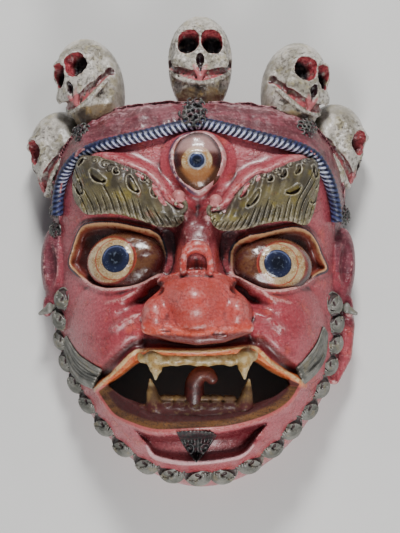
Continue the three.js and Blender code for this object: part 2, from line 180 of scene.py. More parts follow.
def from_line(x, y, points):
    """Distance to a drawn line, and how far along it the nearest place is, from 0 to 1."""
    nearest = np.full(np.broadcast(x, y).shape, 1e6)
    along = np.zeros_like(nearest)
    last = len(points) - 1
    for i, ((ax, ay), (bx, by)) in enumerate(zip(points, points[1:])):
        length = max((bx - ax) ** 2 + (by - ay) ** 2, 1e-9)
        t = np.clip(((x - ax) * (bx - ax) + (y - ay) * (by - ay)) / length, 0, 1)
        distance = np.hypot(x - ax - (bx - ax) * t, y - ay - (by - ay) * t)
        closer = distance < nearest
        nearest = np.where(closer, distance, nearest)
        along = np.where(closer, (i + t) / last, along)
    return nearest, along


def from_edge(x, y, points):
    """Distance to a closed outline, below 0 inside it."""
    nearest, _ = from_line(x, y, [*points, points[0]])
    within = np.zeros(nearest.shape, bool)
    for (ax, ay), (bx, by) in zip(points, [*points[1:], points[0]]):
        if ay != by:
            crossing = ((ay > y) != (by > y)) & (x < (bx - ax) * (y - ay) / (by - ay) + ax)
            within ^= crossing
    return np.where(within, -nearest, nearest)


def ripple(x, y, z, size, seed, waves=7):
    """Gentle unevenness of handwork, between about -1 and 1, at a size in millimetres."""
    chance = random.Random(seed)
    total = 0
    for _ in range(waves):
        heading = Vector((chance.gauss(0, 1), chance.gauss(0, 1), chance.gauss(0, 1))).normalized()
        rate = 2 * math.pi / (size * chance.uniform(0.7, 1.6))
        start = chance.uniform(0, 2 * math.pi)
        total = total + np.sin((heading.x * x + heading.y * y + heading.z * z) * rate + start)
    return total / waves * 1.6


def outline(angle, grow=0.0):
    upper = np.sin(angle) > 0
    power = np.where(upper, CROWN_CURVE, CHIN_CURVE)
    reach = np.where(upper, CROWN_REACH, CHIN_REACH) + grow
    total = np.abs(np.cos(angle) / (HALF_WIDTH + grow)) ** power + np.abs(np.sin(angle) / reach) ** power
    lean = np.where(upper, 0, -JAW_LEAN * np.sin(angle) * np.cos(angle))
    return total ** (-1 / power) * (1 + lean)


def profile(angle):
    upright = np.sin(angle) ** 2
    upper = np.sin(angle) > 0
    across = np.where(upper, 2 + 8 * upright ** 1.7, 2 + 3 * upright ** 1.2)
    deep = np.where(upper, 2 + 2 * upright ** 2, 2 + 0.5 * upright)
    return across, deep


def dome_height(angle, share, depth=DEPTH):
    across, deep = profile(angle)
    return depth * np.maximum(0, 1 - np.minimum(share, 1) ** across) ** (1 / deep)


CORD_LINE = np.array(curve(CORD_WAY, 4))
CORD_ANGLES = np.arctan2(CORD_LINE[:, 1] - MIDDLE_Y, CORD_LINE[:, 0])
CORD_SHARES = np.hypot(CORD_LINE[:, 0], CORD_LINE[:, 1] - MIDDLE_Y) / outline(CORD_ANGLES)


def cord_share(angle):
    """Where the twisted cord lies, as a share of the way out from the middle of the face."""
    return np.interp(angle, CORD_ANGLES, CORD_SHARES)


LID_LOOPS = [curve(LEFT_LID, 4, True), curve(RIGHT_LID, 4, True)]
RIM_LOOP = curve(THIRD_RIM, 4, True)
MOUTH_LOOP = curve(MOUTH_TOP, 3) + curve(LOWER_LIP_LINE, 3)
JAW_LOOP = curve(MOUTH_TOP, 3)[3:-3] + curve(JAW_EDGE, 3)
BROW_TOPS = [curve(LEFT_BROW["top"], 4), curve(RIGHT_BROW["top"], 4)]
BASIN_LOOP = curve(CHIN_BASIN, 3, True)


def lid_distance(x, y):
    return np.minimum(*(from_edge(x, y, loop) for loop in LID_LOOPS))


def soft_min(a, b, blend):
    near = np.maximum(blend - np.abs(a - b), 0) / blend
    return np.minimum(a, b) - near * near * blend / 4


def soft_max(a, b, blend):
    return -soft_min(-a, -b, blend)


def above_brows(x, y):
    """Distance to the crest of the fleshy fold that follows the top of each brow, and how far along it."""
    left, right = (from_line(x, y, top) for top in BROW_TOPS)
    nearer = left[0] < right[0]
    return np.abs(np.where(nearer, left[0], right[0]) - 3.5), np.where(nearer, left[1], right[1])


def relief(x, y, lids=True):
    """Raised and sunk forms of the face, above the plain dome."""
    a = np.abs(x)
    bridge = 24 * dome_in(a, y, 0, -2, 30, 46) ** 0.7
    muzzle = 17 * dome_in(a, y, 0, -92, 88, 30) ** 0.7
    chin = 14 * dome_in(a, y, 0, -150, 90, 26) ** 0.7
    made = soft_max(soft_max(bridge, muzzle, 8), chin, 6)
    for cx, cy, rx, ry in CHEEKS:
        reach = np.hypot((x - cx) / rx, (y - cy) / ry)
        made = soft_max(made, 17 * np.maximum(0, 1 - reach ** 2) ** 0.6, 5)
    made = made - 5.5
    for cx, cy, rx, ry in CHEEKS:
        reach = np.hypot((x - cx) / rx, (y - cy) / ry)
        below = smooth(0.1, 0.7, -(y - cy) / ry)
        made += -6 * bell((reach - 1.04) * 38, 3.2) * below
    made += 12 * bell(y + 186 - a * a * 0.004, 7) * (1 - smooth(56, 86, a))
    made += 5 * bell(from_line(a, y, [(16, 52), (100, 96)])[0], 14)
    made += 10 * dome_in(a, y, 0, 93, 36, 42) ** 0.8
    if not lids:
        return made
    made += -16 * dome_in(a, y, 30, 10, 20, 30) - 8 * dome_in(a, y, 78, 34, 54, 18)
    lid = lid_distance(x, y)
    made += (5 + 2.5 * smooth(0, 20, y)) * bell(lid - 0.6, 2.8) - 10 * smooth(-0.5, 8, -lid)
    made += -9 * dome_in(a, y, 107, 3, 10, 10)
    ridge, along = from_line(a, y, curve(UNDER_EYE))
    made += 7 * bell(ridge, 3.6) * (1 - smooth(0.6, 1, along))
    groove, fading = from_line(a, y, EYE_GROOVE)
    made += -13 * bell(groove, 6) * (1 - 0.8 * smooth(0.3, 1, fading))
    made += 4 * bell(from_line(a, y, [(52, -50), (66, -55), (78, -64)])[0], 4)
    made += -13 * dome_in(a, y, 36, -25, 13, 8) - 14 * dome_in(a, y, 28, 6, 12, 28)
    rim = from_edge(x, y, RIM_LOOP)
    made += 6.5 * bell(rim - 1.5, 3.4) - 4.5 * smooth(0, 5, -rim)
    fold, along = above_brows(x, y)
    made += 11 * bell(fold, 6.2) * (1 - 0.55 * smooth(0.55, 0.95, along))
    mouth = from_edge(x, y, MOUTH_LOOP)
    below = smooth(-112, -122, y)
    made += 4 * bell(mouth - 1.5, 2.6) * below
    lip = from_line(x, y, curve(UPPER_LIP_LINE))[0]
    made += 4.5 * bell(lip, 2.8) + 2.5 * bell(mouth - 3, 4) * (1 - below)
    made += -5 * bell(from_line(x, y, LIP_HOLLOW)[0], 5)
    basin = from_edge(x, y, BASIN_LOOP)
    made += -19 * smooth(0, 4.5, -basin) * (0.15 + 0.85 * np.clip((y + 184) / 20, 0, 1))
    made += 4.5 * bell(basin - 1.8, 3.0) * smooth(-160, -170, y)
    return made


def face_place(x, y):
    """Direction and share of a place in front view."""
    angle = np.arctan2(y - MIDDLE_Y, x)
    return angle, np.hypot(x, y - MIDDLE_Y) / outline(angle)


def face_height(x, y, lids=True):
    angle, share = face_place(x, y)
    return dome_height(angle, share) + relief(x, y, lids) * (1 - smooth(0.88, 0.98, share))


def on_face(x, y, lift=0.0):
    return (x, y, float(face_height(np.array([float(x)]), np.array([float(y)]), False)[0]) + lift)


def egg_distance(shares, half):
    """Distance to an egg, from places given as shares of its three half-sizes."""
    near = np.sqrt(shares[0] ** 2 + shares[1] ** 2 + shares[2] ** 2)
    slope = np.sqrt((shares[0] / half[0]) ** 2 + (shares[1] / half[1]) ** 2 + (shares[2] / half[2]) ** 2)
    return near * (near - 1) / np.maximum(slope, 1e-4)


def ball(centre, half):
    """An egg of three half-sizes: its distance, and the corners of its box."""

    def shape(x, y, z):
        return egg_distance([(v - c) / h for v, c, h in zip((x, y, z), centre, half)], half)

    low = [c - h for c, h in zip(centre, half)]
    high = [c + h for c, h in zip(centre, half)]
    return shape, low, high


def turned_ball(centre, half, turn):
    """The same egg, turned about its middle."""
    matrix = np.array(turn.to_matrix())

    def shape(x, y, z):
        offset = [x - centre[0], y - centre[1], z - centre[2]]
        shares = [sum(matrix[j][i] * offset[j] for j in range(3)) / half[i] for i in range(3)]
        return egg_distance(shares, half)

    reach = max(half)
    return shape, [c - reach for c in centre], [c + reach for c in centre]


def rod(points, radii):
    """A bar along a line of points, with a radius at each: its distance, and the corners of its box."""
    points = [np.array(point, float) for point in points]

    def shape(x, y, z):
        made = None
        for a, b, ra, rb in zip(points, points[1:], radii, radii[1:]):
            ab = b - a
            t = ((x - a[0]) * ab[0] + (y - a[1]) * ab[1] + (z - a[2]) * ab[2]) / max(ab @ ab, 1e-9)
            t = np.clip(t, 0, 1)
            gap = np.sqrt((x - a[0] - ab[0] * t) ** 2 + (y - a[1] - ab[1] * t) ** 2
                          + (z - a[2] - ab[2] * t) ** 2) - (ra + (rb - ra) * t)
            made = gap if made is None else np.minimum(made, gap)
        return made

    reach = max(radii)
    low = np.min(points, axis=0) - reach
    high = np.max(points, axis=0) + reach
    return shape, low, high


class Block:
    """A block of wood, held as distances to the carved surface on a grid: below 0 is wood."""

    def __init__(self, low, high, cell):
        self.low, self.cell = np.array(low, float), cell
        self.axes = [np.arange(a, b + cell, cell, dtype=np.float32) for a, b in zip(low, high)]
        self.field = np.full([len(axis) for axis in self.axes], 60.0, np.float32)

    def grid(self):
        x, y, z = self.axes
        return x[:, None, None], y[None, :, None], z[None, None, :]

    def _part(self, low, high, margin):
        cuts = [slice(*np.searchsorted(axis, (a - margin, b + margin)))
                for axis, a, b in zip(self.axes, low, high)]
        x, y, z = (axis[cut] for axis, cut in zip(self.axes, cuts))
        return tuple(cuts), x[:, None, None], y[None, :, None], z[None, None, :]

    def join(self, shape, blend=1.0):
        distance, low, high = shape
        cuts, x, y, z = self._part(low, high, blend + 4)
        self.field[cuts] = soft_min(self.field[cuts], distance(x, y, z), blend)

    def cut(self, shape, blend=1.0):
        distance, low, high = shape
        cuts, x, y, z = self._part(low, high, blend + 4)
        self.field[cuts] = -soft_min(-self.field[cuts], distance(x, y, z), blend)

    def shell(self):
        """The carved surface, as places and faces."""
        grid = openvdb.FloatGrid(background=60.0)
        grid.gridClass = openvdb.GridClass.LEVEL_SET
        grid.copyFromArray(np.clip(self.field, -60, 60))
        points, faces, quads = grid.convertToPolygons(isovalue=0.0, adaptivity=0.0)
        return points * self.cell + self.low, [*quads.tolist(), *faces.tolist()]


def carved(name, kind, blocks, bodies=1):
    """Carved blocks as one piece of closed bodies, thinned to its kind's number of triangles."""
    places, faces, start = [], [], 0
    for block in blocks:
        block_places, block_faces = block.shell()
        places.append(block_places)
        faces.extend([[start + i for i in face] for face in block_faces])
        start += len(block_places)
    made = piece_from(name, np.concatenate(places), faces)
    keep_bodies(made, bodies)
    outwards(made)
    thin(made, MOST_TRIANGLES[kind])
    return made


def piece_from(name, places, faces):
    """A new object from places in millimetres about the eye line."""
    mesh = bpy.data.meshes.new(name)
    mesh.from_pydata(((np.asarray(places) + SHIFT) * MM).tolist(), [], faces)
    return add_to_scene(name, mesh)


def add_to_scene(name, mesh):
    made = bpy.data.objects.new(name, mesh)
    bpy.context.scene.collection.objects.link(made)
    mesh.polygons.foreach_set("use_smooth", [True] * len(mesh.polygons))
    return made


def piece_of(name, work):
    """A new object from finished mesh work."""
    mesh = bpy.data.meshes.new(name)
    work.to_mesh(mesh)
    work.free()
    return add_to_scene(name, mesh)


def keep_bodies(piece, number):
    """Drops loose crumbs of wood that the cuts left, and keeps the largest bodies."""
    work = bmesh.new()
    work.from_mesh(piece.data)
    seen, bodies = set(), []
    for start in work.verts:
        if start in seen:
            continue
        body, queue = [], [start]
        seen.add(start)
        while queue:
            vert = queue.pop()
            body.append(vert)
            for edge in vert.link_edges:
                other = edge.other_vert(vert)
                if other not in seen:
                    seen.add(other)
                    queue.append(other)
        bodies.append(body)
    bodies.sort(key=len, reverse=True)
    bmesh.ops.delete(work, geom=[v for body in bodies[number:] for v in body], context="VERTS")
    work.to_mesh(piece.data)
    work.free()


def outwards(piece):
    work = bmesh.new()
    work.from_mesh(piece.data)
    if work.calc_volume(signed=True) < 0:
        bmesh.ops.reverse_faces(work, faces=work.faces)
    work.to_mesh(piece.data)
    work.free()


def apply_modifiers(piece):
    graph = bpy.context.evaluated_depsgraph_get()
    graph.update()
    finished = bpy.data.meshes.new_from_object(piece.evaluated_get(graph))
    old = piece.data
    piece.modifiers.clear()
    piece.data = finished
    bpy.data.meshes.remove(old)
    piece.data.name = piece.name


def thin(piece, triangles):
    count = sum(len(polygon.vertices) - 2 for polygon in piece.data.polygons)
    if count > triangles:
        modifier = piece.modifiers.new("thin", "DECIMATE")
        modifier.ratio = triangles / count
        apply_modifiers(piece)
        piece.data.polygons.foreach_set("use_smooth", [True] * len(piece.data.polygons))


def places_of(piece):
    """A piece's vertices, back in millimetres about the eye line."""
    places = np.empty(len(piece.data.vertices) * 3)
    piece.data.vertices.foreach_get("co", places)
    return places.reshape(-1, 3) / MM - SHIFT


def mark(piece, name, values):
    layer = piece.data.attributes.new(name, "FLOAT", "POINT")
    layer.data.foreach_set("value", np.ascontiguousarray(values, np.float32))


def mark_hollows(piece, rounds=6):
    """How far each place is sunk (+) or raised (-) against its neighbours, for dirt and painted shade in the
    hollows and wear on the crests.
    """
    mesh = piece.data
    places = places_of(piece)
    normals = np.empty(len(mesh.vertices) * 3)
    mesh.vertices.foreach_get("normal", normals)
    normals = normals.reshape(-1, 3)
    edges = np.empty(len(mesh.edges) * 2, np.int64)
    mesh.edges.foreach_get("vertices", edges)
    a, b = edges.reshape(-1, 2).T
    count = np.bincount(np.concatenate([a, b]), minlength=len(places))[:, None]

    def spread(values):
        total = np.zeros_like(values)
        for column in range(values.shape[1]):
            total[:, column] = (np.bincount(a, values[b, column], len(values))
                                + np.bincount(b, values[a, column], len(values)))
        return 0.5 * values + 0.5 * total / np.maximum(count, 1)

    even = places
    for _ in range(rounds):
        even = spread(even)
    sunk = ((even - places) * normals).sum(axis=1, keepdims=True)
    mark(piece, "sunk", spread(sunk)[:, 0])
    for _ in range(rounds * 4):
        even = spread(even)
    sunk = ((even - places) * normals).sum(axis=1, keepdims=True)
    mark(piece, "sunk_wide", spread(sunk)[:, 0])


def finish_piece(piece, *nodes, slot="painted_face"):
    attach(piece, "root")
    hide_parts(*nodes)


def dome_distance(x, y, z, grow, depth, drop=0.0):
    """Distance to a plain dome, and how far its surface faces the front."""
    angle = np.arctan2(y - MIDDLE_Y, x)[:, :, 0]
    share = (np.hypot(x, y - MIDDLE_Y)[:, :, 0] / outline(angle, grow)).astype(np.float32)
    across, deep = (power.astype(np.float32)[:, :, None] for power in profile(angle))
    level = np.abs(z + np.float32(0) * share[:, :, None] + drop).astype(np.float32) / depth
    reach = np.sqrt(share[:, :, None] ** across + level ** deep)
    cell = float(x[1, 0, 0] - x[0, 0, 0])
    slopes = np.gradient(reach, cell)
    steep = np.sqrt(slopes[0] ** 2 + slopes[1] ** 2 + slopes[2] ** 2) + 1e-5
    return (reach - 1) / steep, np.clip(slopes[2] / steep, 0, 1), angle, share


NOSE_ROLL = curve([(-13.4, -15, 148), (-13.2, -6, 149), (-10, 4, 149), (-1.2, 8.5, 149), (7.5, 4, 149),
                   (11, -6, 149), (11, -15, 148)], 4)
NOSE_PARTS = [
    (ball((0, -50, 124), (50, 30, 34)), 6),
    (ball((0, -42, 131), (40, 29, 27)), 5),
    (rod([(0, 26, 107), (-1, 6, 115), (-1, -14, 122)], [15, 19, 20]), 5),
    (ball((-3, -46, 146), (23, 22, 26)), 8),
    (ball((-38.5, -54, 136), (13.5, 17, 22)), 5),
    (ball((35, -53, 136), (13.5, 17, 22)), 5),
    (ball((0, -64, 141), (42, 11, 14)), 6),
    (rod([(-46, -66, 145), (-22, -73, 149), (0, -76, 150), (22, -74, 149), (45, -66, 145)],
         [6, 6.5, 7, 6.5, 6]), 5),
    (rod([(-34, -21, 126), (-17, -17, 142), (-1, -16, 146), (15, -17, 142), (32, -21, 126)],
         [4, 3.6, 3.4, 3.6, 4]), 3),
    (rod(NOSE_ROLL, [3.2, 3.2, 3.2, 3.2, 3.2, 3.3, 3.5, 4, 4.7, 5.3, 5.8, 6, 6.1,
                     6, 5.8, 5.3, 4.7, 4, 3.5, 3.3, 3.2, 3.2, 3.2, 3.2, 3.2]), 1.5),
]
NOSE_CUTS = [
    (rod(curve([(-20, -13, 143), (-19.5, 2, 143), (-12, 14, 142), (-1, 18, 140), (10, 14, 142), (17, 2, 143),
                (17.5, -13, 143)], 3), [2.2] * 19), 3),
    (rod([(-5.6, -4.5, 153), (-5.6, -4.5, 144), (-5.6, -9.5, 144), (-5.6, -9.5, 153)], [3.8] * 4), 1.0),
    (rod([(3.2, -4.5, 153), (3.2, -4.5, 144), (3.2, -9.5, 144), (3.2, -9.5, 153)], [3.8] * 4), 1.0),
    (rod([(-1.2, -3.6, 153), (-1.2, -3.6, 144), (-1.2, -9, 144), (-1.2, -9, 153)], [4.4] * 4), 1.0),
    (ball((-39, -31, 140), (8, 5.5, 14)), 3),
    (ball((37, -30, 140), (8, 5.5, 14)), 3),
    (rod([(-50, -80, 139), (0, -85, 143), (50, -79, 139)], [4.5, 5, 4.5]), 3),
    (ball((-31, -70.5, 155), (8, 2.2, 3)), 1),
    (ball((20, -73.5, 155.5), (8, 2.2, 3)), 1),
]
EAR_TURN = Euler((0, math.radians(42), math.radians(-4)))


def nose_field(x, y, z):
    made = np.full(np.broadcast(x, y, z).shape, 60.0, np.float32)
    for (shape, _, _), blend in NOSE_PARTS:
        made = soft_min(made, shape(x, y, z), blend)
    return made


def carve_mask():
    block = Block((-165, -214, -4), (165, 182, 184), 1.4)
    x, y, z = block.grid()
    outer, facing, angle, share = dome_distance(x, y, z, 0.0, DEPTH)
    flat_x, flat_y = np.broadcast_arrays(x[:, :, 0], y[:, :, 0])
    uneven = 0.5 * ripple(flat_x, flat_y, 0, 46, 3) + 0.25 * ripple(flat_x, flat_y, 0, 17, 4)
    form = (relief(flat_x, flat_y) + uneven) * (1 - smooth(0.88, 0.98, share))
    inner = np.hypot(flat_x, flat_y - MIDDLE_Y) / outline(angle, -WALL)
    form = np.maximum(form, dome_height(angle, inner, LINING_DEPTH) + LEAST_WALL - dome_height(angle, share))
    outer -= form.astype(np.float32)[:, :, None] * facing
    over_cord = smooth(-0.012, 0.016, share - cord_share(angle)) * smooth(0.35, 0.62, np.sin(angle))
    brushed = BAND_LIFT + 1.1 * ripple(flat_x, flat_y, 0, 26, 8) + 0.5 * ripple(flat_x, flat_y, 0, 9, 9)
    outer -= (over_cord * brushed).astype(np.float32)[:, :, None] * smooth(0, 50, z).astype(np.float32)
    block.field = outer
    for shape, blend in NOSE_PARTS:
        block.join(shape, blend)
    for shape, blend in NOSE_CUTS:
        block.cut(shape, blend)
    for side in (-1, 1):
        turn = Euler((0, side * EAR_TURN.y, side * EAR_TURN.z))
        block.join(turned_ball((side * 141, 8, 41), (17, 39, 9), turn), 3)
        block.cut(turned_ball((side * 147, 9, 52), (9, 25, 9), turn), 2)
        block.join(rod([(side * 146, -26, 36), (side * 148, -36, 37)], [6, 4.5]), 4)
    block.join(rod([(146, -18, 26), (147, -48, 26), (144, -78, 26), (134, -102, 28)], [5, 7.5, 7, 4]), 8)
    block.field = np.maximum(block.field, -z)
    jaw = 12 * dome_in(flat_x, flat_y, 0, -112, 105, 46) ** 0.5
    lining, _, _, _ = dome_distance(x, y, z, -WALL, LINING_DEPTH, jaw.astype(np.float32)[:, :, None])
    pocket, _, _ = ball((0, -46, LINING_DEPTH - 2), (22, 22, 38))
    lining = soft_min(lining, pocket(x, y, z).astype(np.float32), 8)
    block.field = -soft_min(-block.field, lining, 2)
    front = from_edge(flat_x, flat_y, MOUTH_LOOP)[:, :, None]
    back = from_edge(flat_x, flat_y, JAW_LOOP)[:, :, None]
    level = smooth(92, 126, z) * 0.999
    opening = (front * level + back * (1 - level)).astype(np.float32)
    block.field = -soft_min(-block.field, opening, 2)
    made = carved("carved_mask", "carved_mask", [block])
    mark_mask(made)
    return made


def mark_mask(made):
    """Where the paint changes: distances to the drawn lines, and shares from 0 to 1."""
    px, py, pz = places_of(made).T
    angle, share = face_place(px, py)
    inner = np.hypot(px, py - MIDDLE_Y) / outline(angle, -WALL)
    roof = dome_height(angle, inner, LINING_DEPTH)
    mark(made, "hollow_side", np.maximum(pz - roof, (inner - 1) * 120))
    mark(made, "below_mouth", smooth(-112, -116, py))
    mark(made, "over_mouth", smooth(-120, -114, py))
    mark(made, "lid_top", np.maximum(smooth(-6, 2, py), smooth(104, 110, np.abs(px)) * smooth(-14, -6, py)))
    mark(made, "leftward", smooth(4, -6, px))
    mark(made, "lid", lid_distance(px, py))
    mark(made, "rim", from_edge(px, py, RIM_LOOP))
    mark(made, "mouth", from_edge(px, py, MOUTH_LOOP))
    mark(made, "lip", from_line(px, py, curve(UPPER_LIP_LINE))[0])
    mark(made, "nose", nose_field(px, py, pz))
    mark(made, "past_cord", np.where(py > 0, share - cord_share(angle), -1) * 150)
    mark(made, "fold", above_brows(px, py)[0])
    mark(made, "under_eye", from_line(np.abs(px), py, curve(UNDER_EYE))[0])
    mark(made, "basin", from_edge(px, py, BASIN_LOOP))
    mark(made, "height", py)
    # The groove under each eye, for the painted shade in it
    groove, fading = from_line(np.abs(px), py, EYE_GROOVE)
    mark(made, "eye_groove_shade", groove + 5 * fading)
    # Places darkened with painted shade: the root of the nose between the brows, and the inner corners of
    # the eyes under the brows
    root = smooth(8, 20, py) * (1 - smooth(44, 56, py)) * (1 - smooth(18, 32, np.abs(px)))
    mark(made, "nose_root_shade", root)
    mark(made, "eye_corner_shade", bell(np.abs(px) - 32, 7.5) * smooth(4, 14, py) * (1 - smooth(40, 50, py)))
    edges = [from_line(px, py, curve(cheek_side, 3))[0] for cheek_side, _ in WHISKERS.values()]
    mark(made, "whisker_gap", np.minimum(*edges))
    mark(made, "lip_hollow", from_line(px, py, LIP_HOLLOW)[0])
    # The low far sides of the head, which get a darker mauve with a painted reflection in it
    mark(made, "far_side", smooth(78, 34, pz) * smooth(-70, -30, py))
    mark_hollows(made)


mask = carve_mask()
finish_piece(mask, "mask")


# Eyes: domed balls set into the lids, with the third one upright on the forehead
EYEBALLS = [
    ("left_eyeball", (-68, 3.5, 98), (39, 29, 20.5), -0.32, (-77, 3)),
    ("right_eyeball", (71, -0.5, 98), (39, 27.5, 20.5), 0.32, (74.5, -2)),
    ("third_eyeball", (0, 92.5, 127), (24, 29, 14.5), 0.0, (-1, 91)),
]


def eyeball(name, centre, half, lean, pupil):
    work = bmesh.new()
    bmesh.ops.create_uvsphere(work, u_segments=96, v_segments=64, radius=1)
    turn = Matrix.Translation(Vector(centre)) @ Euler((0, lean, 0)).to_matrix().to_4x4()
    bmesh.ops.transform(work, matrix=turn @ Matrix.Diagonal((*half, 1)), verts=work.verts)
    for vert in work.verts:
        x, y, z = vert.co
        across = math.hypot(x - pupil[0], y - pupil[1])
        if z > centre[2]:
            iris = half[0] * 0.36
            vert.co.z += 1.2 * float(1 - smooth(iris - 1, iris + 0.6, across))
            vert.co.z += 0.35 * float(ripple(x, y, z, 9, 5))
        vert.co = (vert.co + Vector(SHIFT)) * MM
    made = piece_of(name, work)
    px, py, _ = places_of(made).T
    mark(made, "from_pupil", np.hypot(px - pupil[0], py - pupil[1]))
    mark(made, "outward", (px - pupil[0]) * math.copysign(1.0, pupil[0]))
    mark(made, "upward", py - pupil[1])
    edge = from_edge(px, py, RIM_LOOP) if name == "third_eyeball" else lid_distance(px, py)
    mark(made, "in_lids", -edge)
    finish_piece(made, "mask")
    return made


eyes = [eyeball(*facts) for facts in EYEBALLS]

# Teeth, fangs and tongue
TONGUE = rod(curve([(-4, -142, 92), (-3.5, -124, 101), (-3, -112, 107), (2, -105, 110), (9, -105, 112),
                    (13, -109, 112)], 5), [10.5 - 0.2 * i for i in range(26)])


def carve_teeth():
    block = Block((-66, -148, 82), (66, -82, 146), 0.75)
    for i, x in enumerate(range(-30, 31, 10)):
        high = 4.4 + 0.7 * math.sin(i * 2.3)
        block.join(ball((x, -94.5 - 0.5 * math.cos(i * 1.7), 130 - 8 * (x / 52) ** 2), (6.8, high, 6)), 3.2)
    rail = [(-51, -91, 122), (-30, -91, 127), (0, -92.5, 130), (30, -90.5, 127), (51, -89, 122)]
    block.join(rod(rail, [4.8] * 5), 4)
    block.join(rod([(-40, -92, 126), (-38.5, -101, 127), (-38.8, -111, 124)], [9.2, 5.8, 1.0]), 3)
    block.join(rod([(43, -91, 126), (42, -100, 127), (42.8, -110, 124)], [9.2, 5.4, 1.3]), 3)
    for i, x in enumerate((-28, -17, -6, 5.5, 17, 29)):
        deep = 104 - 6 * (x / 52) ** 2
        edge = [(x - 3, -126 - 0.5 * (i % 2), deep), (x + 3, -126.3 - 0.4 * (i % 3), deep)]
        block.join(rod(edge, [3.4, 3.4]), 1.0)
        block.join(rod([(x - 3, -132, deep), (x + 3, -132, deep)], [3.6, 3.6]), 1.0)
    gum = [(-52, -138, 97), (-30, -139, 101), (0, -140, 103), (30, -139, 101), (52, -138, 97)]
    block.join(rod(gum, [6.5] * 5), 3)
    block.join(rod([(-40, -134, 101), (-42.5, -121, 105), (-44.3, -109.5, 109)], [8.5, 5.2, 1.3]), 3)
    block.join(rod([(43, -134, 101), (45.5, -121, 105), (47.4, -110, 109)], [8.5, 5.2, 1.3]), 3)
    x, y, z = block.grid()
    block.field += 0.25 * ripple(x, y, z, 7, 21).astype(np.float32)
    teeth = carved("teeth", "teeth", [block], 2)
    height = places_of(teeth)[:, 1]
    mark(teeth, "lower_jaw", smooth(-113, -117, height))
    mark(teeth, "gum", smooth(-127, -133, height))
    mark_hollows(teeth, 3)
    finish_piece(teeth, "mask", slot="painted_bone")
    return teeth


def carve_tongue():
    block = Block((-24, -150, 78), (30, -88, 128), 0.8)
    block.join(TONGUE)
    x, y, z = block.grid()
    block.field += 0.2 * ripple(x, y, z, 8, 22).astype(np.float32)
    tongue = carved("tongue", "tongue", [block])
    mark(tongue, "tongue_up", places_of(tongue)[:, 1])
    finish_piece(tongue, "mask")
    return tongue


teeth, tongue = carve_teeth(), carve_tongue()

# Brows: plates of slanting locks, with curls cut into the upper half
BROW_LIFT = 13.0


def brow_hollows(facts, side, x, y):
    """Distance to the edge of a brow's nearest gouged crescent, and how deep it is there, from 0 to 1."""
    edge, deep = np.full(np.shape(x), 99.0), np.zeros(np.shape(x))
    for (ax, ay), (bx, by), width in facts["hollows"]:
        middle = ((ax + bx) / 2 + side * 1.2, (ay + by) / 2 - 1)
        distance, along = from_line(x, y, curve([(ax, ay), middle, (bx, by)], 4))
        gap = distance - width * (0.25 + 0.6 * np.sin(math.pi * np.clip(0.12 + 0.8 * along, 0, 1)))
        aside = side * 0.5 * width
        tongue, _ = from_line(x, y, [(ax + aside, ay + 0.5 * width), (bx + aside, by + 0.6 * width)])
        edge = np.minimum(edge, gap)
        floor = 0.25 + 0.75 * smooth(0.25 * width, 0.75 * width, tongue)
        deep = np.maximum(deep, smooth(0.3, -1.4, gap) * floor)
    return edge, deep


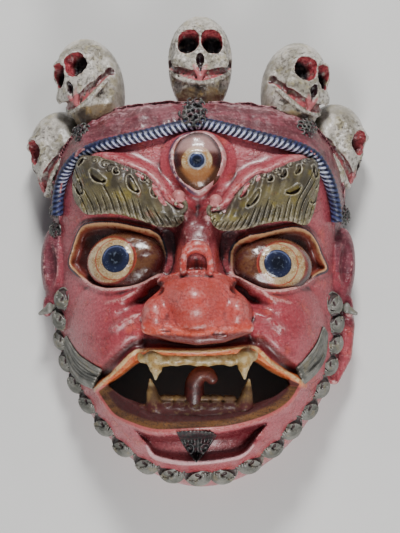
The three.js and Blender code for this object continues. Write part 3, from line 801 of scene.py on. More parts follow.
def carve_brow(name, facts, side):
    top, bottom = curve(facts["top"], 5), curve(facts["bottom"], 5)
    edge = bottom + top[::-1]
    low, high = np.min(edge, axis=0) - 8, np.max(edge, axis=0) + 8
    (high if side < 0 else low)[0] = 4 * side
    block = Block((*low, 50), (*high, 170), 0.72)
    x, y, z = block.grid()
    fx, fy = np.broadcast_arrays(x[:, :, 0].astype(float), y[:, :, 0].astype(float))
    face = face_height(fx, fy, False)
    gap = from_edge(fx, fy, edge)
    up, down = from_line(fx, fy, top)[0], from_line(fx, fy, bottom)[0]
    across = down / (up + down + 1e-6)
    lift = BROW_LIFT * (0.72 + 0.45 * smooth(0, 0.35, across) - 0.35 * smooth(0.5, 1, across))
    lift += 0.6 * ripple(fx, fy, 0, 30, 31)
    a = np.abs(fx)
    run = a - (0.4 + 0.35 * smooth(70, 30, a)) * (fy - 40) + 1.2 * np.sin(fy * 0.12 + 1)
    turn = (run + 0.7 * ripple(fx, fy, 0, 22, 33)) / facts["spacing"]
    lock = turn - np.floor(turn)
    chance = random.Random(40 + side)
    lengths = np.array([facts["reach"] + 0.24 * chance.random() for _ in range(64)])
    reach = lengths[(np.floor(turn).astype(int)) % 64]
    groove = np.exp(-(((lock - 0.5) / 0.12) ** 2)) * (1 - smooth(reach - 0.12, reach + 0.02, across))
    fine = 0.3 * np.cos(2 * math.pi * turn * 3 + 1) * (1 - smooth(0.35, 0.55, across))
    lift = lift - 3.4 * groove * smooth(0, 0.05, across + 0.04) + 1.3 * fine
    hollow, deep = brow_hollows(facts, side, fx, fy)
    lift = lift - 4.6 * deep + 1.1 * bell(hollow - 1.0, 0.8)
    lift += 1.4 * np.cos(2 * math.pi * turn / 2.6 + 0.12 * fy) * smooth(0.42, 0.62, across)
    for cx, cy in facts["curls"]:
        distance = np.hypot(fx - cx, fy - cy)
        swirl = np.arctan2(fy - cy, (fx - cx) * side)
        lift += 2.0 * (1 - smooth(0, 5.5, distance))
        ring = bell(np.mod(distance - swirl * 0.72 + 8, 4.5) - 2.2, 0.7)
        lift += -1.5 * ring * (1 - smooth(4.5, 6, distance))
    surface = (face + lift).astype(np.float32)[:, :, None]
    depth_in = np.clip(surface - z, 0, 40)
    wall = gap[:, :, None] + 0.42 * np.clip(depth_in - 3, 0, 20) * (1 - smooth(0.2, 0.5, across))[:, :, None]
    block.field = -soft_min(-(z - surface) * 0.85, -wall.astype(np.float32), 2.6)
    block.field = np.maximum(block.field, (face - 12).astype(np.float32)[:, :, None] - z)
    cx, cy = facts["knob"]
    rise = float(face_height(np.array([cx]), np.array([cy]), False)[0])
    steps = range(14)
    scroll = []
    for i in steps:
        turn = math.radians(-35 - 24 * i)
        reach = 7.6 - 0.32 * i
        x = cx - side * 1.0 + side * reach * math.cos(turn)
        scroll.append((x, cy + reach * math.sin(turn), rise + 8.5 + 0.35 * i))
    block.join(rod(scroll, [2.6 - 0.06 * i for i in steps]), 1.2)
    block.join(ball((cx, cy + 9, rise + 7), (6.4, 6, 8)), 2.5)
    made = carved(name, "brow", [block])
    px, py, _ = places_of(made).T
    up, down = from_line(px, py, top)[0], from_line(px, py, bottom)[0]
    mark(made, "across", down / (up + down + 1e-6))
    hollow, deep = brow_hollows(facts, side, px, py)
    mark(made, "hollow", hollow)
    mark(made, "hollow_deep", deep)
    mark(made, "knob", np.maximum(np.hypot(px - facts["knob"][0], py - facts["knob"][1] - 8) - 8, -6))
    mark_hollows(made, 4)
    finish_piece(made, "mask")
    return made


brows = [carve_brow("left_brow", LEFT_BROW, -1), carve_brow("right_brow", RIGHT_BROW, 1)]


# Skulls of the crown, each carved on its own and seated on the band
SKULLS = [
    ("middle_skull", "skull_middle", (2, 208, 76), (0, -7, 0)),
    ("inner_left_skull", "skull_inner_left", (-107, 191, 62), (-40, -10, 15)),
    ("inner_right_skull", "skull_inner_right", (95, 186, 62), (37, -8, -9)),
    ("outer_left_skull", "skull_outer_left", (-133, 123, 34), (-86, -4, 15)),
    ("outer_right_skull", "skull_outer_right", (132, 131, 34), (78, -4, -15)),
]
SKULL_HALF = (31.5, 44.5, 60, 34)  # half width, up to the crown, down to the chin, half depth


def both_sides(*shapes):
    """Rods and balls given for the right side, with their mirror images."""
    made = []
    for kind, places, sizes, blend in shapes:
        for side in (1, -1):
            if kind is ball:
                made.append((ball((side * places[0], *places[1:]), sizes)[0], blend))
            else:
                made.append((rod([(side * px, py, pz) for px, py, pz in places], sizes)[0], blend))
    return made


GRIN = [(0, -30, 31), (10, -28, 29.5), (20, -22, 23.5), (27, -14.5, 14.5), (31, -6.5, 4)]
SKULL_SOCKETS = both_sides((ball, (11.6, 5.5, 31), (10.6, 12.0, 21), 1.6),
                           (rod, [(6.5, 12, 30), (15, 11.5, 27)], [5.4, 5.8], 1.5))
SKULL_GRIN = both_sides((rod, GRIN, [4.8, 4.6, 3.8, 3.0, 2.6], 1.2), (ball, (31, -6, 3), (4, 4.5, 6), 1.5))
SKULL_NOSTRIL = [(ball((0, -14, 34), (3.9, 6.5, 8))[0], 1.0),
                 (rod([(0, -16, 33), (0, -25, 32)], [3.2, 1.0])[0], 1.0)]
SKULL_FLAP = both_sides((rod, [(6.4, -17, 29), (3.4, -24, 29.8), (0, -31, 28.6)], [2.0, 2.4, 2.2], 1.6))
SKULL_FORMS = both_sides(
    (rod, [(24, 10, 20), (13, 18, 29), (2, 16.5, 31.5)], [2.5, 3.2, 2.8], 5),
    (ball, (15, -12, 22.5), (12.5, 9.5, 7), 3),
)
JAW_RIM = [(0, -35.6, 27.6), (5, -36, 27.2), (12, -34, 25), (21, -28, 19.5), (28.5, -18.5, 10.5)]
SKULL_RIM = both_sides((rod, JAW_RIM, [2.2, 1.6, 1.5, 1.5, 1.2], 1.6))
SKULL_HOLLOWS = both_sides((ball, (31.5, 4, 13), (5, 13, 9), 6), (ball, (25, -34, 15), (6, 9, 6), 6))


def least(shapes, x, y, z):
    made = None
    for shape, blend in shapes:
        near = shape(x, y, z).astype(np.float32)
        made = near if made is None else soft_min(made, near, blend)
    return made


def skull_distance(x, y, z, seed):
    """Distance to a skull that looks along +Z with its crown towards +Y."""
    width, crown, chin, depth = SKULL_HALF
    tall = np.where(y > 0, crown, chin).astype(np.float32)
    near = np.sqrt((x / width) ** 2 + (y / tall) ** 2 + (z / depth) ** 2)
    slope = np.sqrt((x / width ** 2) ** 2 + (y / tall ** 2) ** 2 + (z / depth ** 2) ** 2)
    made = near * (near - 1) / np.maximum(slope, 1e-4)
    for shape, blend in SKULL_FORMS:
        made = soft_min(made, shape(x, y, z), blend)
    for shape, blend in SKULL_HOLLOWS:
        made = -soft_min(-made, shape(x, y, z), blend)
    made = -soft_min(-made, ball((0, -46, 30), (9, 9, 6))[0](x, y, z), 4)
    for shape, blend in (*SKULL_SOCKETS, *SKULL_GRIN):
        made = -soft_min(-made, shape(x, y, z), blend)
    for shape, blend in (*SKULL_FLAP, *SKULL_RIM):
        made = soft_min(made, shape(x, y, z), blend)
    bridge = rod([(0, 13, 29.5), (0, 2, 31), (0, -7, 32)], [1.4, 1.5, 2.4])[0]
    made = soft_min(made, bridge(x, y, z), 1.6)
    for shape, blend in SKULL_NOSTRIL:
        made = -soft_min(-made, shape(x, y, z), blend)
    rough = smooth(-6, 14, z) * (1 - smooth(26, 36, y))
    made += (0.35 * rough + 0.1) * ripple(x, y, z, 5.5, seed) + 0.22 * rough * ripple(x, y, z, 2.8, seed + 1)
    return made


def skull_turn(turns):
    yaw, pitch, roll = (math.radians(turn) for turn in turns)
    leaned = Matrix.Rotation(roll, 3, "Z") @ Matrix.Rotation(pitch, 3, "X")
    return np.array(leaned @ Matrix.Rotation(yaw, 3, "Y"))


def carve_skull(name, node, at, turns, seed):
    turn = skull_turn(turns)
    corners = np.array([[i * SKULL_HALF[0], (SKULL_HALF[1] if j > 0 else -SKULL_HALF[2]), k * SKULL_HALF[3]]
                        for i in (-1, 1) for j in (-1, 1) for k in (-1, 1)]) * 0.9
    reach = np.array([turn @ corner for corner in corners])
    block = Block(at + reach.min(axis=0) - 3, at + reach.max(axis=0) + 3, 0.85)
    x, y, z = block.grid()
    seat, _, _, _ = dome_distance(x, y, z, BAND_LIFT - 1.5, DEPTH + BAND_LIFT - 1.5)
    offset = [x - np.float32(at[0]), y - np.float32(at[1]), z - np.float32(at[2])]
    local = [sum(np.float32(turn[j][i]) * offset[j] for j in range(3)) for i in range(3)]
    block.field = np.maximum(skull_distance(*local, seed), -seat).astype(np.float32)
    made = carved(name, "skull", [block])
    px, py, pz = ((places_of(made) - at) @ turn).T
    mark(made, "skull_side", px)
    mark(made, "skull_up", py)
    mark(made, "skull_front", pz)
    for feature, shapes in (("socket", SKULL_SOCKETS), ("grin", SKULL_GRIN), ("nostril", SKULL_NOSTRIL),
                            ("flap", SKULL_FLAP)):
        mark(made, feature, least(shapes, px, py, pz))
    mark_hollows(made, 4)
    finish_piece(made, node, slot="painted_bone")
    return made


skulls = [carve_skull(*facts, 60 + 3 * i) for i, facts in enumerate(SKULLS)]


# Twisted cord that edges the band
def on_dome(degrees, share, lift=0.0):
    """A place on the plain dome, by direction and share of the way out, and the way it faces."""
    angle = np.array(math.radians(degrees))
    reach = float(outline(angle)) * share
    height = float(dome_height(angle, share))
    place = np.array([reach * math.cos(angle), MIDDLE_Y + reach * math.sin(angle), height])

    def level(spot):
        heading, out = face_place(spot[0], spot[1])
        across, deep = profile(heading)
        return float(out ** across + (spot[2] / DEPTH) ** deep)

    steps = np.eye(3) * 0.5
    facing = np.array([level(place + step) - level(place - step) for step in steps])
    facing /= np.linalg.norm(facing)
    return place + facing * lift, facing


CORD_RADIUS, CORD_LIFT = 5.9, 4.4
CORD_TWIST = 15.5  # length of one turn of its three strands
CORD_ENDS = (26, 152)  # degrees about the middle of the face


def lay_cord():
    route = [on_dome(degrees, float(cord_share(np.array(math.radians(degrees)))), CORD_LIFT)[0]
             for degrees in np.linspace(*CORD_ENDS, 50)]
    route = np.array(curve(route, 10))
    lengths = np.concatenate([[0], np.cumsum(np.linalg.norm(np.diff(route, axis=0), axis=1))])
    headings = np.gradient(route, axis=0)
    last = len(route) - 1
    work = bmesh.new()
    strand_sine = work.verts.layers.float.new("strand_sine")
    strand_cosine = work.verts.layers.float.new("strand_cosine")
    low_side = work.verts.layers.float.new("low_side")
    over_top = work.verts.layers.float.new("over_top")
    bmesh.ops.create_grid(work, x_segments=last, y_segments=24, size=1)
    for vert in work.verts:
        i = round((vert.co.x + 1) / 2 * last)
        turn = math.pi * (vert.co.y + 1)
        forward = Vector(headings[i]).normalized()
        side = forward.cross(Vector((0, 0, 1))).normalized()
        up = side.cross(forward)
        one_turn = math.copysign(2 * math.pi, lengths[i] - lengths[-1] / 2)
        strand = 3 * turn + one_turn * lengths[i] * 3 / CORD_TWIST
        radius = CORD_RADIUS * (0.84 + 0.16 * abs(math.cos(strand / 2)) ** 0.7)
        radius *= 1 if 0 < i < last else 0.6
        vert[strand_sine], vert[strand_cosine] = math.sin(strand), math.cos(strand)
        offset = side * math.cos(turn) + up * math.sin(turn)
        vert[low_side] = offset.dot(Vector((-route[i][0], MIDDLE_Y - route[i][1], 0)).normalized())
        vert[over_top] = float(smooth(70, 96, route[i][1]))
        vert.co = (Vector(route[i] + SHIFT) + offset * radius) * MM
    bmesh.ops.remove_doubles(work, verts=work.verts, dist=1e-6)
    bmesh.ops.holes_fill(work, edges=work.edges, sides=0)
    bmesh.ops.recalc_face_normals(work, faces=work.faces)
    made = piece_of("twisted_cord", work)
    finish_piece(made, "mask")
    return made


cord = lay_cord()


# Carved hair: tufts on the band, clumps of beard, whiskers and the small beard under the lip
def frame_at(facing, out):
    """Columns of across, outwards and forwards, for work laid on a place of the mask."""
    front = Vector(facing).normalized()
    across = Vector(out).cross(front).normalized()
    return np.array([across, front.cross(across), front]).T


def block_about(place, reach, cell=0.6):
    return Block(np.array(place) - reach, np.array(place) + reach, cell)


def mound(size, high):
    return lambda u, v: high * math.sqrt(max(0.04, 1 - (u * u + v * v) / (size * size)))


def curl(place, frame, centre, size, start, way, height, turns=0.85):
    """One carved curl: a strand wound round its own dark middle."""
    points, radii = [], []
    for i in range(12):
        t = i / 11
        angle = start + way * 2 * math.pi * turns * t
        reach = size * (1 - 0.35 * t)
        u, v = centre[0] + reach * math.cos(angle), centre[1] + reach * math.sin(angle)
        points.append(place + frame @ np.array([u, v, height(u, v) - 0.25 * size * (1 - t)]))
        radii.append(size * 0.42 * (1 - 0.45 * abs(2 * t - 0.8)))
    return rod(points, radii)


def clump_place(x, y, lift, front):
    """A place on the dome under a clump, the frame it is carved in and its turn."""
    angle, share = face_place(x, y)
    place, facing = on_dome(math.degrees(angle), min(float(share), 0.975), lift)
    facing = facing + np.array([0, 0, front])
    facing /= np.linalg.norm(facing)
    frame = frame_at(facing, (math.cos(angle), math.sin(angle), 0))
    return place, facing, frame, Matrix(frame).to_quaternion()


TUFTS = [(-4, 137, 7, 13.5, 18, 1.4), (-108, 127, 5, 9.5, 13, 0.8), (101, 130, 5, 10.5, 13, 0.8),
         (-137, 62, 2, 8.5, 9, 0.4), (-137, 44, 2, 8.5, 9, 0.4), (139, 88, 2, 8, 9, 0.4),
         (144, 62, 2, 8.5, 11, 0.4)]


def carve_tufts():
    blocks = []
    chance = random.Random(71)
    for x, y, lift, wide, tall, front in TUFTS:
        place, facing, frame, turn = clump_place(x, y, lift, front)
        block = block_about(place, max(wide, tall) + 6)
        high = 0.45 * wide
        block.join(turned_ball(place - facing * 2.5, (wide * 0.84, tall * 0.84, high + 1.5), turn))
        height = mound(tall * 1.2, high + 1)
        size = 0.25 * wide
        for number, share_out in ((round(math.pi * (wide + tall) * 0.72 / (2.1 * size)), 0.74),
                                  (round(math.pi * (wide + tall) * 0.38 / (2.1 * size)), 0.38), (1, 0.0)):
            for k in range(number):
                heading = 2 * math.pi * (k + chance.uniform(-0.15, 0.15)) / number
                centre = (share_out * wide * math.cos(heading), share_out * tall * math.sin(heading))
                grown = size * chance.uniform(0.75, 1.45)
                block.join(curl(place, frame, centre, grown, heading + chance.uniform(-1.5, 1.5),
                                1 if chance.random() < 0.7 else -1, height), 0.3)
                if chance.random() < 0.4:
                    u, v = centre
                    middle = place + frame @ np.array([u, v, height(u, v) + 0.5])
                    block.cut(ball(middle, (0.3 * grown, 0.3 * grown, 0.3 * grown + 1.2)), 0.4)
        blocks.append(block)
    made = carved("tufts", "tufts", blocks, len(TUFTS))
    mark_hollows(made, 3)
    finish_piece(made, "mask")
    return made


CLUMPS = [(-131, -25, 10), (-133, -43, 10.5), (-133, -62, 10.5), (-128, -83, 10.5), (-118, -104, 11),
          (-106, -124, 11.5), (-90, -146, 12), (-72, -166, 12), (-50, -183, 12.5), (-26, -192, 12.5),
          (-1, -195, 12.5), (25, -193, 12.5), (50, -183, 12.5), (71, -168, 12), (89, -150, 12),
          (106, -131, 11.5), (118, -110, 11), (127, -88, 10.5), (132, -67, 10.5), (133, -48, 10.5),
          (131, -30, 10.5)]
STRAND_STEPS = 10


def carve_clump(x, y, size, chance):
    """A low mound of beard, with strands swept round it and dark slots; gives its block and its slots."""
    place, facing, frame, turn = clump_place(x, y, 0.5, 0.5)
    side = 1 if x > 0 else -1
    block = block_about(place, 1.7 * size, 0.65)
    wide, high = 1.14 * size, 0.42 * size + 3
    block.join(turned_ball(place - facing * 3, (wide, wide, high), turn))

    def at(u, v, lift=0.0):
        height = high * math.sqrt(max(0.0, 1 - (u * u + v * v) / (wide * wide))) - 3
        return place + frame @ np.array([u, v, height + lift])

    for k in range(5):
        reach = (0.34 + 0.17 * k) * size
        begin = -0.35 + 0.12 * k + chance.uniform(-0.15, 0.15)
        path = []
        for i in range(STRAND_STEPS):
            angle = begin + (2.1 + 0.1 * k) * i / (STRAND_STEPS - 1)
            u = side * 0.18 * size + side * reach * math.cos(angle)
            path.append(at(u, -0.3 * size + reach * math.sin(angle), 0.06 * size))
        thick = size * chance.uniform(0.12, 0.16)
        swell = [0.5 + 0.5 * math.sin(math.pi * (i + 1) / (STRAND_STEPS + 1)) for i in range(STRAND_STEPS)]
        block.join(rod(path, [thick * share for share in swell]), 0.3)
    crescent = [(-0.84 * side, 0.3), (-0.8 * side, -0.2), (-0.46 * side, -0.62), (0.2 * side, -0.76)]
    slots = [(crescent, [0.12, 0.26, 0.28, 0.14]),
             ([(0.04 * side, -0.34), (0.26 * side, -0.2)], [0.15, 0.1])]
    for k, (begin, end) in enumerate(((0.2, 1.7), (-0.2, 0.9), (0.9, 2.2))):
        reach = 0.425 + 0.17 * k
        arc = [begin + (end - begin) * i / 4 + chance.uniform(-0.05, 0.05) for i in range(5)]
        slots.append(([(side * (0.18 + reach * math.cos(a)), reach * math.sin(a) - 0.3) for a in arc],
                      [0.04, 0.085, 0.1, 0.085, 0.04]))
    pits = []
    for path, widths in slots:
        slot = rod([at(size * p, size * q) for p, q in path], [size * width for width in widths])
        block.cut(slot, 0.5)
        pits.append((slot[0], 0.3))
    return block, pits


def carve_beard():
    chance = random.Random(83)
    blocks, pits = [], []
    for x, y, size in CLUMPS:
        block, slots = carve_clump(x, y, size, chance)
        blocks.append(block)
        pits.extend(slots)
    for side in (-1, 1):
        block = Block((side * 150 - 12, -50, 28), (side * 150 + 12, -22, 56), 0.6)
        pin = [(side * 141, -32, 41), (side * 148, -35, 42), (side * 154, -38, 42)]
        block.join(rod(pin, [3.4, 3.6, 2.0]))
        block.join(ball((side * 145, -33, 44), (3.6, 5.4, 3.4)), 1)
        blocks.append(block)
    made = carved("beard", "beard", blocks, len(blocks))
    mark(made, "pit", least(pits, *places_of(made).T))
    mark_hollows(made, 3)
    finish_piece(made, "mask")
    return made


def carve_whiskers(name, cheek_side, jaw_side):
    """Strands from the beard below the ear along the cheek to the corner of the mouth."""
    side = 1 if cheek_side[0][0] > 0 else -1
    block = Block((-146 if side < 0 else 86, -126, 30), (-86 if side < 0 else 146, -50, 130), 0.62)
    strands = 7
    for k in range(strands):
        share = (k + 0.3) / strands
        path = []
        for i, ((ax, ay), (bx, by)) in enumerate(zip(cheek_side, jaw_side)):
            x, y = ax + (bx - ax) * share, ay + (by - ay) * share
            path.append(on_face(x, y, 2.0 + 0.5 * math.sin(k * 2 + i) + 1.5 * (k % 2)))
        path = curve(path, 5)
        thick = 0.45 + 0.15 * (k % 3)
        radii = [0.8 + thick * math.sin(min(1, i / 12) * math.pi / 2) for i in range(len(path))]
        block.join(rod(path, radii), 0.25)
        below = [(px, py, pz - 3.4) for px, py, pz in path]
        block.join(rod(below, [1.9 * r for r in radii]), 0.25)
    made = carved(name, "whiskers", [block])
    mark(made, "pit", np.full(len(made.data.vertices), 9.0))
    mark_hollows(made, 3)
    finish_piece(made, "mask")
    return made


SMALL_BEARD = [(-20, -159), (-13, -158), (0, -158), (12, -159), (17.5, -161), (10, -172), (-1.5, -186),
               (-12, -172)]


def carve_small_beard():
    block = Block((-26, -192, 60), (24, -150, 135), 0.6)
    x, y, z = block.grid()
    fx, fy = np.broadcast_arrays(x[:, :, 0].astype(float), y[:, :, 0].astype(float))
    face = face_height(fx, fy)
    gap = from_edge(fx, fy, SMALL_BEARD)
    fan = np.arctan2(fx + 1.5, fy + 205) * 13
    lift = 7.0 - 2.2 * (0.5 + 0.5 * np.cos(2 * math.pi * fan)) ** 2
    for cx, way in ((-8, 1), (6.5, -1)):
        far = np.hypot(fx - cx, fy + 173)
        swirl = np.arctan2(fy + 173, (fx - cx) * way)
        ring = bell(np.mod(far - swirl * 0.7 + 9, 4.4) - 2.2, 0.8) * (1 - smooth(4.5, 6.5, far))
        lift = np.where(far < 6.5, 6.2 + 1.6 * (1 - smooth(4, 6.5, far)), lift) - 2.6 * ring
    surface = (face + lift).astype(np.float32)[:, :, None]
    block.field = -soft_min(-(z - surface) * 0.85, -(gap[:, :, None] + 0 * z).astype(np.float32), 1.6)
    block.field = np.maximum(block.field, (face - 6).astype(np.float32)[:, :, None] - z)
    made = carved("small_beard", "small_beard", [block])
    mark_hollows(made, 3)
    finish_piece(made, "mask")
    return made


tufts = carve_tufts()
beard = carve_beard()
whiskers = [carve_whiskers(name, *edges) for name, edges in WHISKERS.items()]
small_beard = carve_small_beard()


# Finishes
def srgb(red, green, blue):
    """A colour as it is seen, from 0 to 255, as the shader wants it."""
    shares = [value / 255 for value in (red, green, blue)]
    return (*(((s + 0.055) / 1.055) ** 2.4 if s > 0.04 else s / 12.92 for s in shares), 1.0)


class Shade:
    """One output among a finish's nodes; arithmetic on it adds Math nodes."""

    def __init__(self, paint, output):
        self.paint, self.output = paint, output

    def _maths(self, operation, first, second):
        return self.paint.node("ShaderNodeMath", {"operation": operation}, {0: first, 1: second})

    def __add__(self, other):
        return self._maths("ADD", self, other)

    def __radd__(self, other):
        return self._maths("ADD", other, self)

    def __sub__(self, other):
        return self._maths("SUBTRACT", self, other)

    def __rsub__(self, other):
        return self._maths("SUBTRACT", other, self)

    def __mul__(self, other):
        return self._maths("MULTIPLY", self, other)

    def __rmul__(self, other):
        return self._maths("MULTIPLY", other, self)


class Paint:
    """A finish in the making: its material, its shader and the nodes that vary it."""

    def __init__(self, name, **shader):
        self.material = bpy.data.materials.new(name)
        self.material.use_nodes = True
        self.tree = self.material.node_tree
        self.shader = self.tree.nodes["Principled BSDF"]
        for socket, value in shader.items():
            self.shader.inputs[socket.replace("_", " ").title().replace("Ior", "IOR")].default_value = value
        self.spot = self.node("ShaderNodeTexCoord", output="Object")

    def node(self, kind, settings=(), inputs=(), output=0):
        """Any node: its settings first, then the values or links of its sockets."""
        made = self.tree.nodes.new(kind)
        for name, value in dict(settings).items():
            setattr(made, name, value)
        for name, value in dict(inputs).items():
            if isinstance(value, Shade):
                self.tree.links.new(value.output, made.inputs[name])
            else:
                made.inputs[name].default_value = value
        return Shade(self, made.outputs[output])

    def marked(self, name):
        return self.node("ShaderNodeAttribute", {"attribute_name": name}, output="Fac")

    def moved(self, stretch, start):
        return self.node("ShaderNodeMapping", {}, {"Vector": self.spot, "Scale": stretch, "Location": start})

    def noise(self, size, seed=0, detail=3.0, rough=0.55, stretch=(1, 1, 1), warp=0.0):
        """Cloudy unevenness of a size in millimetres, around 0.5."""
        place = self.moved(stretch, (seed * 0.37, seed * 0.21, seed * 0.13))
        return self.node("ShaderNodeTexNoise", {},
                         {"Vector": place, "Scale": 1 / (size * MM), "Detail": detail, "Roughness": rough,
                          "Distortion": warp})

    def crackle(self, size, seed=0, stretch=(1, 1, 1)):
        """Distance to the nearest crack, as a share of the size."""
        place = self.moved(stretch, (seed * 0.29, seed * 0.17, seed * 0.11))
        return self.node("ShaderNodeTexVoronoi", {"feature": "DISTANCE_TO_EDGE"},
                         {"Vector": place, "Scale": 1 / (size * MM), "Randomness": 1.0})

    def step(self, value, low, high):
        """0 at low, 1 at high, eased between."""
        return self.node("ShaderNodeMapRange", {"interpolation_type": "SMOOTHSTEP"},
                         {"Value": value, "From Min": low, "From Max": high})

    def within(self, value, low, high, soft):
        """1 between two values, 0 outside them."""
        return self.step(value, low - soft, low + soft) * self.step(value, high + soft, high - soft)

    def over(self, under, colour, share):
        """A share of one colour over another; colours are given as they are seen, from 0 to 255."""
        under, colour = (srgb(*one) if isinstance(one, tuple) else one for one in (under, colour))
        return self.node("ShaderNodeMix", {"data_type": "RGBA"}, {0: share, 6: under, 7: colour}, output=2)

    def coats(self, colour, *coats):
        """Coat after coat over a colour, each a colour and the share of it that covers."""
        for coat, share in coats:
            colour = self.over(colour, coat, share)
        return colour

    def finish(self, colour, roughness=None, bumps=(), coat=None):
        """Wires the colour, the roughness and the heights, which are in millimetres."""
        self.tree.links.new(colour.output, self.shader.inputs["Base Color"])
        if roughness:
            self.tree.links.new(roughness.output, self.shader.inputs["Roughness"])
        if coat:
            self.tree.links.new(coat.output, self.shader.inputs["Coat Weight"])
        if bumps:
            height = sum(bumps[1:], bumps[0])
            bump = self.node("ShaderNodeBump", {}, {"Height": height, "Strength": 1.0, "Distance": MM})
            self.tree.links.new(bump.output, self.shader.inputs["Normal"])
        return self.material


def painted_lips(paint, lacquer, fine, dust, streak):
    """A gold line and an orange band above the opening, with painted shade in the hollow under the nose; a
    pink rim that is a painted highlight, and a brown gold wall below it.
    """
    mouth, lip, below = paint.marked("mouth"), paint.marked("lip"), paint.marked("below_mouth")
    # Dark maroon along the hollow under the nose: maroon paint deepened with painted shade of the recess
    lacquer = paint.over(lacquer, (78, 20, 22), paint.step(paint.marked("lip_hollow"), 6.5, 3.0) * 0.85)
    orange = paint.over((196, 84, 46), (216, 128, 70), paint.step(fine, 0.4, 0.62))
    upper = paint.step(mouth, 8.5, 6.5) * (1 - below) * paint.marked("over_mouth")
    lacquer = paint.over(lacquer, orange, upper * 0.95)
    gold = paint.over((222, 190, 134), (196, 128, 70), paint.step(fine, 0.5, 0.64))
    lacquer = paint.coats(
        lacquer,
        (gold, paint.step(lip + fine * 1.6, 3.2, 2.1) * 0.9),
        # Painted highlight: a paler pink along the rim of the lower lip
        ((190, 96, 92), paint.step(mouth, 3.4, 1.6) * below * 0.7),
    )
    wall = paint.coats(
        (84, 50, 26),
        ((112, 72, 34), paint.step(streak, 0.4, 0.6)),
        ((64, 10, 12), paint.step(mouth, -6.0, -9.0)),
        ((40, 20, 14), paint.step(dust, 0.5, 0.66) * 0.8),
    )
    lacquer = paint.over(lacquer, wall, paint.step(mouth, -0.4, -1.6) * paint.step(below, 0.2, 0.6))
    inside = paint.step(mouth, -0.2, -1.0) * (1 - paint.step(below, 0.2, 0.6))
    lacquer = paint.over(lacquer, (84, 30, 22), inside)
    return lacquer


def painted_lids(paint, lacquer, fine, dust):
    """A dark outline, a narrow gold and orange band and a maroon slope; below the eye a pale crest that is
    painted highlight, and a painted highlight on the ridge under it; the third eye's rim.
    """
    lid, top = paint.marked("lid"), paint.marked("lid_top")
    band_colour = paint.coats(
        (190, 146, 104),
        ((138, 66, 48), paint.step(lid + fine * 3, 1.0, -1.2)),
        ((106, 40, 36), paint.step(lid + fine * 4, -1.0, -4.0)),
        ((62, 20, 22), paint.step(lid + fine * 2, -6.0, -9.0)),
    )
    # Below the eye: a pale pinkish edge, painted highlight on the lid's crest, over a maroon slope
    low_colour = paint.over((214, 160, 150), (104, 34, 36), paint.step(lid + fine * 2, 0.6, -1.6))
    low_colour = paint.over(low_colour, (40, 12, 18), paint.step(lid, -2.6, -5.4))
    lid_colour = paint.over(low_colour, band_colour, top)
    lacquer = paint.coats(
        lacquer,
        (lid_colour, paint.step(lid, 0.9, -0.1)),
        ((20, 22, 36), paint.within(lid + dust * 1.2, 1.0, 3.0, 0.35) * top * 0.92),
    )
    # Painted highlight: a pale streak along the crest of each lower lid
    lower_lid_highlight = paint.within(lid + fine * 2, 1.0, 3.0, 0.6) * (1 - top) * paint.step(dust, 0.42, 0.55)
    lacquer = paint.over(lacquer, (224, 176, 168), lower_lid_highlight * 0.75)
    # Painted highlight: a pale streak along the ridge under each eye
    under = paint.marked("under_eye")
    ridge = paint.step(under + fine * 2, 3.2, 1.6) * paint.step(dust, 0.42, 0.54)
    lacquer = paint.over(lacquer, (216, 156, 150), ridge * 0.6)
    rim, left = paint.marked("rim"), paint.marked("leftward")
    ring = paint.over((206, 150, 146), (74, 80, 104), left * paint.step(rim, 1.6, 3.0))
    ring = paint.over(ring, (230, 210, 202), paint.step(fine, 0.52, 0.64))
    lacquer = paint.over(lacquer, ring, paint.within(rim + fine * 2, 0.4, 5.6, 0.7) * 0.8)
    inner = paint.over((178, 118, 84), (104, 52, 32), paint.step(rim, -1.0, -4.0))
    lacquer = paint.over(lacquer, inner, paint.step(rim, 0.4, -0.6))
    return lacquer


